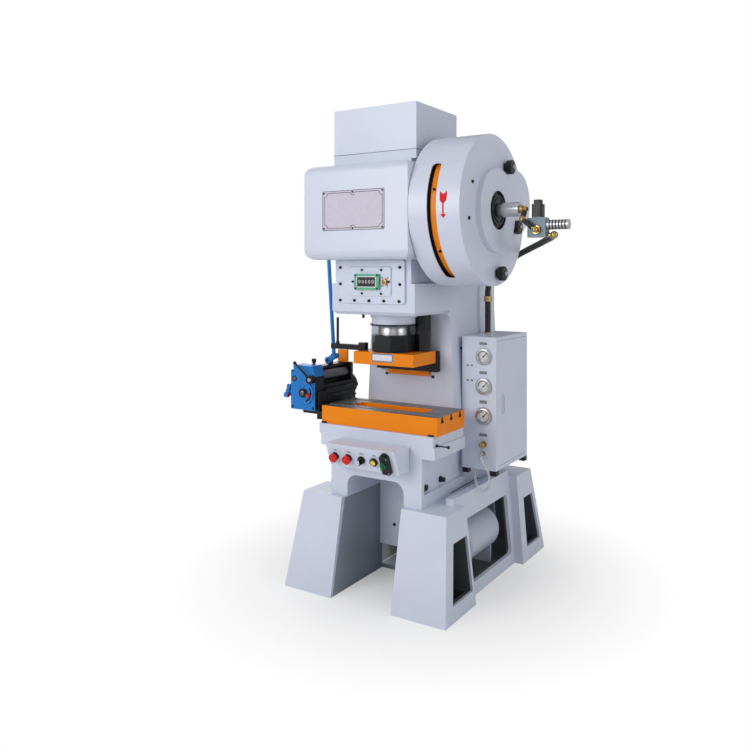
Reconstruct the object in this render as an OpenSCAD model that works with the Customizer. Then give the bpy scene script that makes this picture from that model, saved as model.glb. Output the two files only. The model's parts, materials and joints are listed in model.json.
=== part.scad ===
// High-speed C-frame punch press with roll feeder, air cabinet and flywheel drive.
// X runs right, Y runs back, Z runs up; the origin is the middle of the anchor holes on the floor.

/* [Base] */
// Height of the pedestal base
base_h = 419; // [380:1:440]
// Half width of the base at its top
base_top_x = 372; // [360:1:390]
// Half width of the base on the floor
base_foot_x = 414; // [405:1:430]
// Half length of the base at its top
base_top_y = 454; // [440:1:475]
// Half length of the base on the floor
base_foot_y = 539; // [520:1:560]
// Casting wall of the base
base_wall = 28; // [22:1:30]
// Setback of the side wall between the pedestals
side_setback = 45; // [35:1:48]
// Half width of the scrap tunnel between the front pedestals
tunnel_x = 155; // [150:1:165]
// Radius of an anchor hole
anchor_r = 11; // [8:0.5:14]

/* [Frame] */
// Half width of the frame above the base
frame_x = 237; // [230:1:240]
// Front face of the column, measured from the origin
column_front_y = -125; // [-130:1:-120]
// Back face of the column
column_back_y = 362; // [350:1:380]
// Half width of the column under the head
column_top_x = 212; // [204:1:215]
// Height of the arch's crown above the base
arch_rise = 99; // [80:1:110]
// Half width of the arch
arch_x = 148; // [130:1:150]
// Half width of the bed block
bed_x = 298; // [285:1:300]

/* [Head] */
// Height of the crankshaft's axis above the head's underside
crank_rise = 448; // [440:1:455]
// Half width of the head's lower block
head_low_x = 216; // [214:1:222]
// Half width of the head above its shoulder
head_x = 198; // [190:1:203]
// Half width of the front cover
cover_x = 266; // [250:1:266]
// Reach of the front cover in front of the head
cover_reach = 140; // [120:1:160]
// Height of the front cover
cover_h = 408; // [390:1:415]
// Height of the top cover
top_cover_h = 202; // [160:1:240]

/* [Slide] */
// Throw of the crank, half the slide's stroke
throw = 15; // [10:1:18]
// Half width of the slide plate
slide_x = 159; // [152:1:168]
// Thickness of the slide plate
slide_h = 56; // [48:1:64]
// Radius of the die shank hole
shank_r = 19.05; // [15:0.05:25]
// Radius of the plunger
plunger_r = 66; // [64:1:72]

/* [Bolster] */
// Half width of the bolster
bolster_x = 304; // [290:1:304]
// Thickness of the bolster
bolster_h = 80; // [70:1:90]
// Width of a T-slot's neck
t_neck = 14; // [10:1:16]

/* [Flywheel drive] */
// Outer radius of the flywheel guard
guard_r = 320; // [316:1:335]
// Depth of the flywheel guard, along the crank
guard_depth = 232; // [226:1:245]
// Clearance between the flywheel's rim and its guard
wheel_gap = 15; // [10:1:30]
// Radius of the motor pulley
pulley_r = 75; // [60:1:85]

/* [Air cabinet] */
// Height of the air cabinet
cabinet_h = 606; // [590:1:640]
// Width of the air cabinet
cabinet_w = 171; // [165:1:190]
// Length of the air cabinet, front to back
cabinet_l = 363; // [340:1:380]
// Radius of a gauge's flange
gauge_r = 40; // [36:1:44]

/* [Control panel] */
// Half width of the control panel box
panel_x = 178; // [174:1:190]
// Height of the control panel box
panel_h = 105; // [98:1:110]
// Depth of the control panel box at its top
panel_top_l = 124; // [115:1:135]
// Depth of the control panel box at its foot
panel_foot_l = 83; // [75:1:95]

/* [Feeder] */
// Radius of a feed roll
roll_r = 32; // [28:0.5:32]
// Throw of the feeder's eccentric on the crank
feed_throw = 12; // [8:1:13]

/* [Air tank] */
// Radius of the air tank
tank_r = 103; // [85:1:105]

/* [Hidden] */
$fn = 96;
cut = 2;
run_gap = 0.05;
seat_gap = 0.3;
sheet = 3;

// Base casting
foot_gap_y = 260;
foot_lean = 17;
base_floor_t = 20;
base_deck_t = 30;
cross_wall_y = -150;
cross_wall_t = 25;
cross_wall_z = 127;
ridge_h = 26;
ridge_w = 37;
anchor_x = 320;
anchor_y = 400;
window_z0_share = 0.15;
window_z1_share = 0.715;
front_window_ins = [64, 16];
rear_window_ins = [30, 63];
mid_window_share = [0.13, 0.8];
mid_window_r = 24;
mid_window_end = 22;

// Frame casting
leg_front_y = -422;
leg_h = 214;
arch_r = 50;
bed_z = base_h + leg_h;
bed_h = 97;
bed_top_z = bed_z + bed_h;
bed_front_y = -420;
bed_back_y = -138;
bed_lip_h = 45;
bed_lip_out = 9;
bed_lip_in = 8;
foot_rail_h = 55;
pocket_depth = 20;
pocket_front = 22;
pocket_back_y = -20;
chute_x = 94;
chute_y = [-318, -242];
throat_r = 35;
column_knee_h = 177;
column_knee_in = 2;
knee_z = bed_z + column_knee_h;
throat_h = 603;
head_z = bed_z + throat_h;
head_low_h = 138;
shoulder_z = head_z + head_low_h;
head_h = 672;
head_top_z = head_z + head_h;
shelf_h = 386;
shelf_z = head_z + shelf_h;
head_front_y = -443;
head_back_y = -117;
head_chamfer = 14;
head_flange_h = 40;
head_flange_y = [-430, -60];
crank_z = head_z + crank_rise;
slide_y = -267;
crank_room_x = 124;
crank_room_y = [-395, -148];
crank_room_floor = 94;
crank_room_h = 510;
crank_room_z = head_z + crank_room_floor;
bearing_boss_r = 112;
boss_x = 268;
back_bay_x = 160;
back_bay_wall = 60;
back_bay_low = 60;
back_bay_rib = 40;
back_bay_r = 40;
back_bay_top = 60;

// Crank, connecting rod and slide
journal_r = 45;
bush_r = 58;
eccentric_r = 72;
eccentric_x = 48;
rod_ring_r = 96;
rod_ring_x = 44;
rod_ball_r = 36;
rod_shank_r = 26;
ball_drop = 319;
ball_z = crank_z + throw - ball_drop;
cup_clear = 4;
cup_r = 54;
cup_lip = 40;
plunger_top_z = ball_z + cup_lip;
slide_drop = 229;
slide_z = head_z - slide_drop;
slide_top_z = slide_z + slide_h;
slide_front = 93;
slide_back = 109;
shank_depth = 40;
nut_h = 77;
nut_r = 101;
nut_sides = 8;
collar_h = 54;
collar_r = [100, 106];
bush_body_r = 92;
post_x = 113;
post_dy = 72;
post_r = 36;
post_top = 60;
post_bore = 66;
guide_x = 164;
guide_z = [271, 177];
bar_x = 113;
bar_t = 18;
bar_h = 24;
arm_x = [-318, -122];
arm_t = 25;
arm_w = 28;
arm_dy = -39;
arm_pad_x = -160;
arm_pad_h = 36;
push_rod_x = -287;
push_rod_h = 148;
push_rod_r = 6;
push_ball_r = 9;

// Covers and counter
cover_r = 40;
cover_wall = 5;
cover_lap = 58;
cover_drop = 207;
cover_z = crank_z - cover_drop;
top_wall = 4;
plate_x = 172;
plate_low = 50;
plate_t = 12;
plate_r = 16;
inner_plate_x = 108;
inner_plate_z = [84, 210];
inner_plate_t = 8;
counter_x = [-72, 54];
counter_z = [111, 180];
counter_t = 14;
counter_recess = 6;
counter_rim = [24, 16];
sight_x = 79;
sight_r = 13;
sight_t = 9;

// Flywheel, guard, belts and motor
guard_x0 = boss_x;
guard_x1 = guard_x0 + guard_depth;
guard_wall = 5;
wheel_r = guard_r - guard_wall - wheel_gap;
lobe_r = 150;
lobe_depth = 132;
lobe_x1 = guard_x0 + lobe_depth;
slot_x = [354, 397];
slot_up = 34;
slot_down = 64;
disc_r = 176;
disc_t = 22;
hub_hole_r = 82;
knob_r = 20;
knob_cap_r = 31;
knob_h = [12, 36];
// Places of the guard's knobs, taken from the crank's axis
knob_places = [[117, 194], [199, -62], [32, -266]];
motor_y = 227;
motor_rise = 76;
motor_z = crank_z + motor_rise;
belt_x = [300, 360];
belt_count = 3;
belt_t = 10;
belt_gap = 4;
belt_step = 16;
belt_seat_r = wheel_r - belt_step;
wheel_x1 = 480;
wheel_web_x = [395, 430];
wheel_rim_t = 46;
wheel_hub_r = 92;
bearing_r = 68;
bearing_w = 42;
cap_r = 78;
cap_x = [513, 520];
cap_step_r = 46;
motor_r = 118;
motor_x = [-190, 214];
motor_fin_h = 9;
motor_fins = 30;
motor_fin_t = 5;
motor_end = 46;
motor_shaft_r = 19;
motor_feet_x = [-95, 95];
motor_foot = [60, 216, 16];
motor_leg_l = 150;
terminal_w = 110;
terminal_h = 26;

// Air line on the crank's end
union_r = 30.5;
union_x = [524, 619];
union_stub_r = 15;
union_stub_l = 30;
pipe_r = 11;
pipe_nut_r = 17;
pipe_nut_l = 12;
pipe_reach = 22;
pipe_bend_r = 13;
pipe_hose_r = 9;
pipe_turn = [5, 44];
valve_port = [42, 30];
valve_x = [658, 736];
valve_drop = [118, 38];
valve_z = [crank_z - valve_drop[0], crank_z - valve_drop[1]];
valve_w = 46;
coil_w = 40;
coil_h = 56;
coil_plug_h = 18;
coil_plug_r = 13;
silencer_r = 20;
silencer_l = 92;
silencer_rings = 7;
silencer_groove = 4;
silencer_drop = 30;
stub_r = 9;
elbow_r = 16;
elbow_nut_l = 32;
elbow_nut_r = 15;
hose_r = 14;
hose_sides = 12;
// Route of the air hose, heights taken from the crank's axis, the last one reset to the cabinet's top
hose_points = [
    [750, -234, -110], [732, -195, -111], [711, -153, -114], [685, -114, -118], [657, -77, -123],
    [627, -42, -130], [595, -9, -138], [561, 21, -147], [525, 49, -158], [488, 74, -170], [449, 97, -184],
    [409, 117, -200], [369, 135, -219], [330, 150, -242], [298, 160, -272], [277, 165, -310],
    [268, 167, -354], [268, 167, -390], [268, 167, -426], [268, 167, -462], [268, 167, -498]
];
hose_gland_h = 5;
hose_gland_r = 18;
hose_clamp_h = 26;
hose_clamp_r = 20;
hose_clamp_drop = 404;

// Air cabinet
cabinet_gap = 3;
cabinet_x0 = frame_x + cabinet_gap;
cabinet_x1 = cabinet_x0 + cabinet_w;
cabinet_y0 = -51;
cabinet_y1 = cabinet_y0 + cabinet_l;
cabinet_low = 102;
cabinet_z = base_h + cabinet_low;
cabinet_z1 = cabinet_z + cabinet_h;
door_frame_y = 16;
door_frame_z = 18;
door_gap = 1.5;
hinge_r = 4;
hinge_l = 52;
hinge_in = 64;
hinge_zs = [hinge_in, cabinet_h - hinge_in - hinge_l];
pull_r = 20;
pull_h = 92;
pull_depth = 2;
pull_dy = 57;
pull_z = 249;
gland_size = 30;
gland_h = 23;
bracket_w = 40;
bracket_zs = [60, 480];
bracket_h = 70;
bracket_ys = [40, 280];
gauge_dx = 110;
gauge_zs = [517, 381, 245];
gauge_flange_t = 7;
gauge_dial_r = 31;
gauge_dial_t = 2.5;
gauge_body_l = 34;
needle_l = 24;
needle_tail = 9;
needle_w = 2.4;
needle_t = 1.2;
needle_hub_r = 4;
needle_angle = 45;
needle_lift = 1;
regulator_z = 117;
regulator_r = [15, 11];
regulator_l = [10, 30];
port_z = 75;
port_r = 9;
port_l = 16;
tube_r = 5;
tube_sides = 10;
// Route of the drain tube, taken from the cabinet's lower front left corner
tube_points = [
    [110, -16.3, 75], [110, -32, 75], [117, -46, 66], [129, -53, 51], [142, -55, 34], [154, -55, 13],
    [161, -54, -10], [162, -52, -33], [156, -49, -55], [143, -44, -73], [124, -37, -84], [105, -29, -81],
    [87, -19, -68], [73, -7, -54], [64, 6, -38], [60, 18, -24], [60, 26, -13], [60, 26, -0.3]
];

// Control panel
panel_drop = 60;
panel_z = bed_z - panel_drop;
button_share = 0.53;
button_xs = [-138, -68, 1, 65];
switch_px = 121;
bezel_r = 17.5;
bezel_h = 8;
bezel_bore = 12;
stop_r = 20;
stop_h = 14;
stem_r = 11.7;
press_travel = 5;
selector_r = 15;
selector_h = 14;
selector_bar = 8;
start_h = 5;
switch_size = [54, 90, 32];
switch_tab = [30, 8, 14];
switch_ring_r = 26;
switch_ring_h = 4;
handle_r = 24;
handle_t = 8;
handle_bar = 12;

// Air tank
tank_x = 212;
tank_floor = 53;
tank_z = base_floor_t + tank_floor + tank_r;
tank_y = [-118, 226];
tank_dome = 36;
tank_leg_ys = [-55, 155];
tank_leg_t = 8;
tank_leg_w = 150;
tank_port_r = 12;
tank_port_h = 14;

// Feeder, heights taken from the bolster's underside
roll_x = -392;
roll_half_gap = 0.6;
strip_h = 165;
strip_z = bed_top_z + strip_h;
low_roll_z = strip_z - roll_half_gap - roll_r;
top_roll_z = strip_z + roll_half_gap + roll_r;
gear_x = [-477, -335];
gear_y = [-420, -350];
gear_z = [50, 257];
gear_step = [15, 27];
gear_corner = [14, 40];
dial_r = 52;
dial_t = 10;
dial_slot_r = [36, 46];
dial_slot_deg = [-75, 35];
dial_slot_depth = 6;
hub_r = 20;
hub_t = 12;
crank_arm_l = 34;
crank_arm_r = 6;
peep = [-455, 193, 11];
peep_depth = 20;
house_x = [-460, -335];
house_y1 = -93;
house_z0 = 36;
house_under_strip = 3;
end_t = 18;
end_x = [-436, -350];
end_top = 245;
drum_r = 58;
drum_l = 18;
lip_x = -319;
lip_z = [128, 146];
rib_out = 6;
rib_h = 8;
rib_zs = [60, 84, 108];
roll_clear = 1;
roll_shaft_r = 11;
shaft_reach = 14;
tie_x = [-425, -375];
tie_h = 12;
screw_r = 7;
screw_cap_r = 11;
screw_x = -406;
screw_ys = [-335, -200];
screw_h = [18, 36];
foot_plate_x = -320;
foot_plate_z = [12, 48];
foot_shelf_h = 14;
toe_y = [-404, -352];
toe_z = 140;
upright_x = [-417, -360];
upright_t = 14;
upright_y = -130;
upright_h = 62;
feed_disc_x = [-398, -370];
feed_ring_in = 2;
feed_ring_t = 16;
rod_r = 9;
rod_foot_x = -338;
rod_foot_rise = 290;
rod_eye_r = 14;
rod_eye_y = [-279, -257];
rocker_y = [-256.4, -240];
rocker_pivot = [-385, 266];
rocker_pin_r = 8;
rocker_eye_r = 17;
rocker_end_r = 13;
rocker_arm_w = 20;
rocker_cheek_t = 14;
rocker_cheek_w = 24;
lever_c = [-346, 197];
lever_tip = [-434, 269];
lever_r = 5;
lever_ball_r = 7;
lever_hub_r = 19;
lever_hub_l = 28;
wheel_axis = [-385, 122];
star_hub_r = 12;
star_x = [-523, -503];
star_r = 20;
star_arm = 25;
star_lobe_r = 12;
star_arms = 3;

// Shape helpers
module block(lo, hi) {
    translate(lo) cube(hi - lo);
}

module mirrored_x() {
    children();
    mirror([1, 0, 0]) children();
}

// A flat outline in Y and Z, run along X
module along_x(x0, x1) {
    translate([x0, 0, 0]) rotate([90, 0, 90]) linear_extrude(x1 - x0) children();
}

// A flat outline in X and Z, run along Y
module along_y(y0, y1) {
    translate([0, y1, 0]) rotate([90, 0, 0]) linear_extrude(y1 - y0) children();
}

module rod_x(x0, x1, y, z, r) {
    translate([x0, y, z]) rotate([0, 90, 0]) cylinder(h = x1 - x0, r = r);
}

module rod_y(y0, y1, x, z, r) {
    translate([x, y0, z]) rotate([-90, 0, 0]) cylinder(h = y1 - y0, r = r);
}

module rod_z(z0, z1, x, y, r) {
    translate([x, y, z0]) cylinder(h = z1 - z0, r = r);
}

// A round bar from one point to another
module rod_between(from, to, r) {
    way = to - from;
    translate(from) rotate([0, acos(way[2] / norm(way)), atan2(way[1], way[0])])
        cylinder(h = norm(way), r = r);
}

module round_rect(lo, hi, r) {
    translate([lo[0] + r, lo[1]]) square([hi[0] - lo[0] - 2 * r, hi[1] - lo[1]]);
    translate([lo[0], lo[1] + r]) square([hi[0] - lo[0], hi[1] - lo[1] - 2 * r]);
    for (x = [lo[0] + r, hi[0] - r], y = [lo[1] + r, hi[1] - r]) {
        translate([x, y]) circle(r);
    }
}

// Outline round two circles and the straight runs that touch both
module belt_outline(c1, r1, c2, r2) {
    reach = c2 - c1;
    lean = atan2(reach[1], reach[0]);
    wrap = acos((r1 - r2) / norm(reach));
    up = [cos(lean + wrap), sin(lean + wrap)];
    down = [cos(lean - wrap), sin(lean - wrap)];
    translate(c1) circle(r1);
    translate(c2) circle(r2);
    polygon([c1 + r1 * up, c2 + r2 * up, c2 + r2 * down, c1 + r1 * down]);
}

function unit(v) = v / norm(v);
function route_way(p, i) = unit(p[min(i + 1, len(p) - 1)] - p[max(i - 1, 0)]);
function ring_side(way) = unit(cross(way, [0.8, 0.6, 0]));

// A round tube swept along a route's own points
module swept_tube(route, r, sides) {
    rings = len(route);
    points = [for (i = [0:rings - 1])
        let (way = route_way(route, i), side = ring_side(way), up = cross(way, side))
        for (k = [0:sides - 1]) route[i] + r * (cos(360 * k / sides) * side + sin(360 * k / sides) * up)];
    walls = [for (i = [0:rings - 2], k = [0:sides - 1])
        let (n = (k + 1) % sides)
        [i * sides + n, i * sides + k, (i + 1) * sides + k, (i + 1) * sides + n]];
    start = [for (k = [0:sides - 1]) k];
    end = [for (k = [sides - 1:-1:0]) (rings - 1) * sides + k];
    polyhedron(points, concat([start], walls, [end]));
}

// Base
function base_x_at(z) = base_foot_x + (base_top_x - base_foot_x) * z / base_h;
function foot_out_at(z) = base_foot_y + (base_top_y - base_foot_y) * z / base_h;
function foot_in_at(z) = foot_gap_y + foot_lean * z / base_h;

module base_front_outline(inset, z0, z1) {
    polygon([
        [-base_x_at(z0) + inset, z0], [base_x_at(z0) - inset, z0],
        [base_x_at(z1) - inset, z1], [-base_x_at(z1) + inset, z1]
    ]);
}

module base_side_outline(inset) {
    polygon([
        [-base_foot_y + inset, 0], [base_foot_y - inset, 0],
        [base_top_y - inset, base_h], [-base_top_y + inset, base_h]
    ]);
}

// The leaning outline of a pedestal, seen from the side
module foot_outline(ins, z0, z1) {
    polygon([
        [foot_in_at(z0) + ins[1], z0], [foot_out_at(z0) - ins[0], z0],
        [foot_out_at(z1) - ins[0], z1], [foot_in_at(z1) + ins[1], z1]
    ]);
}

module feet(inset) {
    ins = [inset, inset];
    along_x(-base_foot_x, base_foot_x) {
        foot_outline(ins, 0, base_h);
        mirror([1, 0]) foot_outline(ins, 0, base_h);
    }
}

module side_windows() {
    mirror([1, 0]) foot_outline(front_window_ins, base_h * window_z0_share, base_h * window_z1_share);
    foot_outline(rear_window_ins, base_h * window_z0_share, base_h * window_z1_share);
    round_rect(
        [-foot_gap_y + mid_window_end, base_h * mid_window_share[0]],
        [foot_gap_y - mid_window_end, base_h * mid_window_share[1]], mid_window_r
    );
}

module base_solid() {
    intersection() {
        along_y(-base_foot_y, base_foot_y) base_front_outline(side_setback, 0, base_h);
        along_x(-base_foot_x, base_foot_x) base_side_outline(0);
    }
    intersection() {
        along_y(-base_foot_y, base_foot_y) base_front_outline(0, 0, base_h);
        feet(0);
    }
    mirrored_x() block(
        [base_top_x - side_setback - ridge_w, -foot_in_at(base_h) - base_wall, base_h - base_deck_t],
        [base_top_x - side_setback, foot_in_at(base_h), base_h + ridge_h]
    );
}

module base_hollows() {
    hollow_z = base_h - base_deck_t;
    rear_y0 = cross_wall_y + cross_wall_t;
    block([-tunnel_x, -base_foot_y - cut, -cut], [tunnel_x, cross_wall_y, base_h + cut]);
    block([-tunnel_x, cross_wall_y - cut, -cut], [tunnel_x, rear_y0, cross_wall_z]);
    intersection() {
        along_y(rear_y0, base_foot_y)
            base_front_outline(side_setback + base_wall, base_floor_t, hollow_z);
        along_x(-base_foot_x, base_foot_x) base_side_outline(base_wall);
    }
    mirrored_x() intersection() {
        along_y(-foot_gap_y, rear_y0 + cut)
            base_front_outline(side_setback + base_wall, base_floor_t, hollow_z);
        block([tunnel_x + base_wall, -foot_gap_y, 0], [base_foot_x, rear_y0 + cut, base_h]);
    }
    intersection() {
        along_y(-base_foot_y, base_foot_y) base_front_outline(base_wall, base_floor_t, hollow_z);
        feet(base_wall);
        mirrored_x() block([tunnel_x + base_wall, -base_foot_y, 0], [base_foot_x, base_foot_y, base_h]);
    }
}

module base() {
    inner_x = tunnel_x + base_wall + cut;
    color("#c6cad8") difference() {
        base_solid();
        base_hollows();
        along_x(-base_foot_x - cut, -inner_x) side_windows();
        along_x(inner_x, base_foot_x + cut) side_windows();
        for (x = [-anchor_x, anchor_x], y = [-anchor_y, anchor_y]) {
            rod_z(-cut, base_floor_t + cut, x, y, anchor_r);
        }
    }
}

// Frame
function column_x_at(z) = z < knee_z
    ? frame_x - column_knee_in * (z - base_h) / (knee_z - base_h)
    : frame_x - column_knee_in + (column_top_x - frame_x + column_knee_in)
        * (z - knee_z) / (head_z - knee_z);

module arch_outline() {
    crown = base_h + arch_rise;
    translate([-arch_x, base_h - cut]) square([2 * arch_x, arch_rise - arch_r + cut]);
    translate([-arch_x + arch_r, base_h]) square([2 * (arch_x - arch_r), arch_rise]);
    for (x = [-arch_x + arch_r, arch_x - arch_r]) {
        translate([x, crown - arch_r]) circle(arch_r);
    }
}

module column_outline() {
    knee_x = frame_x - column_knee_in;
    polygon([
        [-frame_x, base_h], [frame_x, base_h], [knee_x, knee_z], [column_top_x, head_z],
        [column_top_x, shelf_z], [-column_top_x, shelf_z], [-column_top_x, head_z], [-knee_x, knee_z]
    ]);
}

module head_low_outline() {
    polygon([
        [-head_low_x, head_z + head_chamfer], [-head_low_x + head_chamfer, head_z],
        [head_low_x - head_chamfer, head_z], [head_low_x, head_z + head_chamfer],
        [head_low_x, shoulder_z], [-head_low_x, shoulder_z]
    ]);
}

module head_low_side() {
    polygon([
        [head_front_y, head_z + head_chamfer], [head_front_y + head_chamfer, head_z],
        [column_front_y + cut, head_z], [column_front_y + cut, shoulder_z], [head_front_y, shoulder_z]
    ]);
}

module throat_fillet() {
    c = [column_front_y - throat_r, head_z - throat_r];
    along_x(-column_top_x, column_top_x) difference() {
        translate(c) square([throat_r + cut, throat_r + cut]);
        translate(c) circle(throat_r);
    }
}

module frame_solid() {
    lip_z = bed_top_z - bed_lip_h;
    block([-frame_x, leg_front_y, base_h], [frame_x, column_front_y + cut, bed_z + cut]);
    along_y(column_front_y, column_back_y) column_outline();
    block([-bed_x, bed_front_y, bed_z], [bed_x, bed_back_y, lip_z]);
    block([-bed_x - bed_lip_out, bed_front_y, lip_z], [bed_x - bed_lip_in, bed_back_y, bed_top_z]);
    block(
        [-column_x_at(knee_z), bed_back_y - cut, bed_z],
        [column_x_at(knee_z), column_front_y + cut, bed_top_z]
    );
    intersection() {
        along_y(head_front_y, column_front_y + cut) head_low_outline();
        along_x(-head_low_x, head_low_x) head_low_side();
    }
    throat_fillet();
    block([-head_x, head_front_y, shoulder_z - cut], [head_x, head_back_y, head_top_z]);
    block(
        [-head_low_x, head_flange_y[0], head_top_z],
        [head_low_x, head_flange_y[1], head_top_z + head_flange_h]
    );
    rod_x(-boss_x, boss_x, slide_y, crank_z, bearing_boss_r);
}

module back_bays() {
    low = base_h + back_bay_low;
    top = shelf_z - back_bay_top;
    middle = (low + top) / 2;
    along_y(column_front_y + back_bay_wall, column_back_y + cut) {
        round_rect([-back_bay_x, low], [back_bay_x, middle - back_bay_rib / 2], back_bay_r);
        round_rect([-back_bay_x, middle + back_bay_rib / 2], [back_bay_x, top], back_bay_r);
    }
}

module frame() {
    room_top = crank_room_z + crank_room_h;
    color("#c6cad8") difference() {
        frame_solid();
        along_y(leg_front_y - cut, cross_wall_y) arch_outline();
        mirrored_x() block(
            [frame_x - pocket_depth, leg_front_y + pocket_front, base_h + foot_rail_h],
            [frame_x + cut, pocket_back_y, bed_z]
        );
        block(
            [-crank_room_x, crank_room_y[0], crank_room_z], [crank_room_x, crank_room_y[1], room_top]
        );
        block(
            [-crank_room_x, head_front_y - cut, shoulder_z], [crank_room_x, crank_room_y[0] + cut, room_top]
        );
        block([-chute_x, chute_y[0], bed_z - leg_h], [chute_x, chute_y[1], bed_top_z + cut]);
        rod_x(-boss_x - cut, boss_x + cut, slide_y, crank_z, bush_r);
        rod_z(head_z - cut, crank_room_z + cut, 0, slide_y, bush_body_r);
        rod_z(head_z - cut, head_z + post_bore, post_x, slide_y + post_dy, post_r + run_gap);
        back_bays();
    }
}

module inner_panel() {
    color("#cdd1dc") block(
        [-arch_x + seat_gap, cross_wall_y - sheet, cross_wall_z],
        [arch_x - seat_gap, cross_wall_y, base_h + arch_rise - arch_r]
    );
}

// Bolster
bolster_front_y = -406;
bolster_back_y = -154;
bolster_y = [bolster_front_y, bolster_back_y];
bolster_l = bolster_y[1] - bolster_y[0];
bolster_z1 = bed_top_z + bolster_h;
t_head = 24;
t_head_h = 11;
t_depth = 28;
t_slot_shares = [0.175, 0.5, 0.825];
drop_x = 190;
drop_shares = [0.32, 0.68];
drop_r = 8;

module t_slot(y) {
    foot = bolster_z1 - t_depth;
    block([-bolster_x - cut, y - t_neck / 2, foot], [bolster_x + cut, y + t_neck / 2, bolster_z1 + cut]);
    block([-bolster_x - cut, y - t_head / 2, foot], [bolster_x + cut, y + t_head / 2, foot + t_head_h]);
}

module bolster() {
    drop_ys = [for (s = drop_shares) bolster_y[0] + s * bolster_l];
    color("#f0941a") difference() {
        block([-bolster_x, bolster_y[0], bed_top_z], [bolster_x, bolster_y[1], bolster_z1]);
        for (s = t_slot_shares) {
            t_slot(bolster_y[0] + s * bolster_l);
        }
        translate([0, 0, bed_top_z - cut]) linear_extrude(bolster_h + 2 * cut)
            round_rect([-drop_x, drop_ys[0]], [drop_x, drop_ys[1]], drop_r);
    }
}

// Covers
cover_top_z = cover_z + cover_h;
cover_y = [head_front_y - cover_reach, head_front_y + cover_lap];

module cover_side_outline(inset) {
    lo = [cover_y[0] + inset, cover_z + inset];
    hi = [cover_y[1], cover_top_z - inset];
    r = cover_r - inset;
    translate([lo[0] + r, lo[1]]) square([hi[0] - lo[0] - r, hi[1] - lo[1]]);
    translate([lo[0], lo[1] + r]) square([hi[0] - lo[0], hi[1] - lo[1] - 2 * r]);
    for (z = [lo[1] + r, hi[1] - r]) {
        translate([lo[0] + r, z]) circle(r);
    }
}

module cover_front_outline(inset) {
    round_rect(
        [-cover_x + inset, cover_z + inset], [cover_x - inset, cover_top_z - inset], cover_r - inset
    );
}

module cover_block(inset, y1) {
    intersection() {
        along_x(-cover_x, cover_x) cover_side_outline(inset);
        along_y(cover_y[0], y1) cover_front_outline(inset);
    }
}

module crown_cover() {
    color("#c6cad8") difference() {
        cover_block(0, cover_y[1]);
        cover_block(cover_wall, cover_y[1] - cover_wall);
        block([-head_x, head_front_y, cover_z - cut], [head_x, cover_y[1] + cut, cover_top_z + cut]);
    }
}

module top_cover() {
    z0 = head_top_z + head_flange_h;
    color("#c6cad8") difference() {
        block([-head_low_x, head_flange_y[0], z0], [head_low_x, head_flange_y[1], z0 + top_cover_h]);
        block(
            [-head_low_x + top_wall, head_flange_y[0] + top_wall, z0 - cut],
            [head_low_x - top_wall, head_flange_y[1] - top_wall, z0 + top_cover_h - top_wall]
        );
    }
}

plate_y = head_front_y - plate_t;

module head_plate() {
    color("#cdd1de") union() {
        along_y(plate_y, head_front_y)
            round_rect([-plate_x, head_z + plate_low], [plate_x, cover_z - seat_gap], plate_r);
        along_y(plate_y - inner_plate_t, plate_y) round_rect(
            [-inner_plate_x, head_z + inner_plate_z[0]],
            [inner_plate_x, head_z + inner_plate_z[1]], plate_r / 2
        );
    }
}

module counter_unit() {
    y1 = plate_y - inner_plate_t;
    z = [head_z + counter_z[0], head_z + counter_z[1]];
    color("#3aa07a") {
        difference() {
            block([counter_x[0], y1 - counter_t, z[0]], [counter_x[1], y1, z[1]]);
            block(
                [counter_x[0] + counter_rim[0], y1 - counter_t - cut, z[0] + counter_rim[1]],
                [counter_x[1] - counter_rim[0], y1 - counter_t + counter_recess, z[1] - counter_rim[1]]
            );
        }
        rod_y(y1 - sight_t, y1, sight_x, (z[0] + z[1]) / 2, sight_r);
    }
}

// Flywheel guard
crank_c = [slide_y, crank_z];
motor_c = [motor_y, motor_z];

module guard_outline(inset) {
    belt_outline(crank_c, guard_r - inset, motor_c, lobe_r - inset);
}

module guard_slot() {
    reach = 2 * guard_r;
    along_x(slot_x[0], slot_x[1]) translate(crank_c) polygon([
        [0, 0], reach * [-cos(slot_up), sin(slot_up)],
        [-reach, 0], reach * [-cos(slot_down), -sin(slot_down)]
    ]);
}

module flywheel_guard() {
    color("#c6cad8") difference() {
        union() {
            along_x(guard_x0, lobe_x1) guard_outline(0);
            rod_x(lobe_x1 - cut, guard_x1, slide_y, crank_z, guard_r);
            rod_x(guard_x1 - cut, guard_x1 + disc_t, slide_y, crank_z, disc_r);
        }
        along_x(guard_x0 + guard_wall, lobe_x1 - guard_wall) guard_outline(guard_wall);
        rod_x(lobe_x1 - 2 * guard_wall, guard_x1 - guard_wall, slide_y, crank_z, guard_r - guard_wall);
        rod_x(
            guard_x1 - 2 * guard_wall, guard_x1 + disc_t - guard_wall,
            slide_y, crank_z, disc_r - guard_wall
        );
        difference() {
            guard_slot();
            rod_x(slot_x[0] - cut, slot_x[1] + cut, slide_y, crank_z, wheel_r);
        }
        rod_x(guard_x0 - cut, guard_x1 + disc_t + cut, slide_y, crank_z, hub_hole_r);
        rod_x(guard_x0 - cut, guard_x0 + guard_wall + cut, motor_y, motor_z, pulley_r + guard_wall);
    }
}

module guard_knobs() {
    color("#18191b") for (p = knob_places) {
        y = slide_y + p[0];
        z = crank_z + p[1];
        rod_x(guard_x1, guard_x1 + knob_h[0], y, z, knob_r);
        rod_x(guard_x1 + knob_h[0], guard_x1 + knob_h[1], y, z, knob_cap_r);
    }
}

// Flywheel drive
belt_pitch = (belt_x[1] - belt_x[0]) / belt_count;
belt_lane = belt_pitch - belt_gap;

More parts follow.
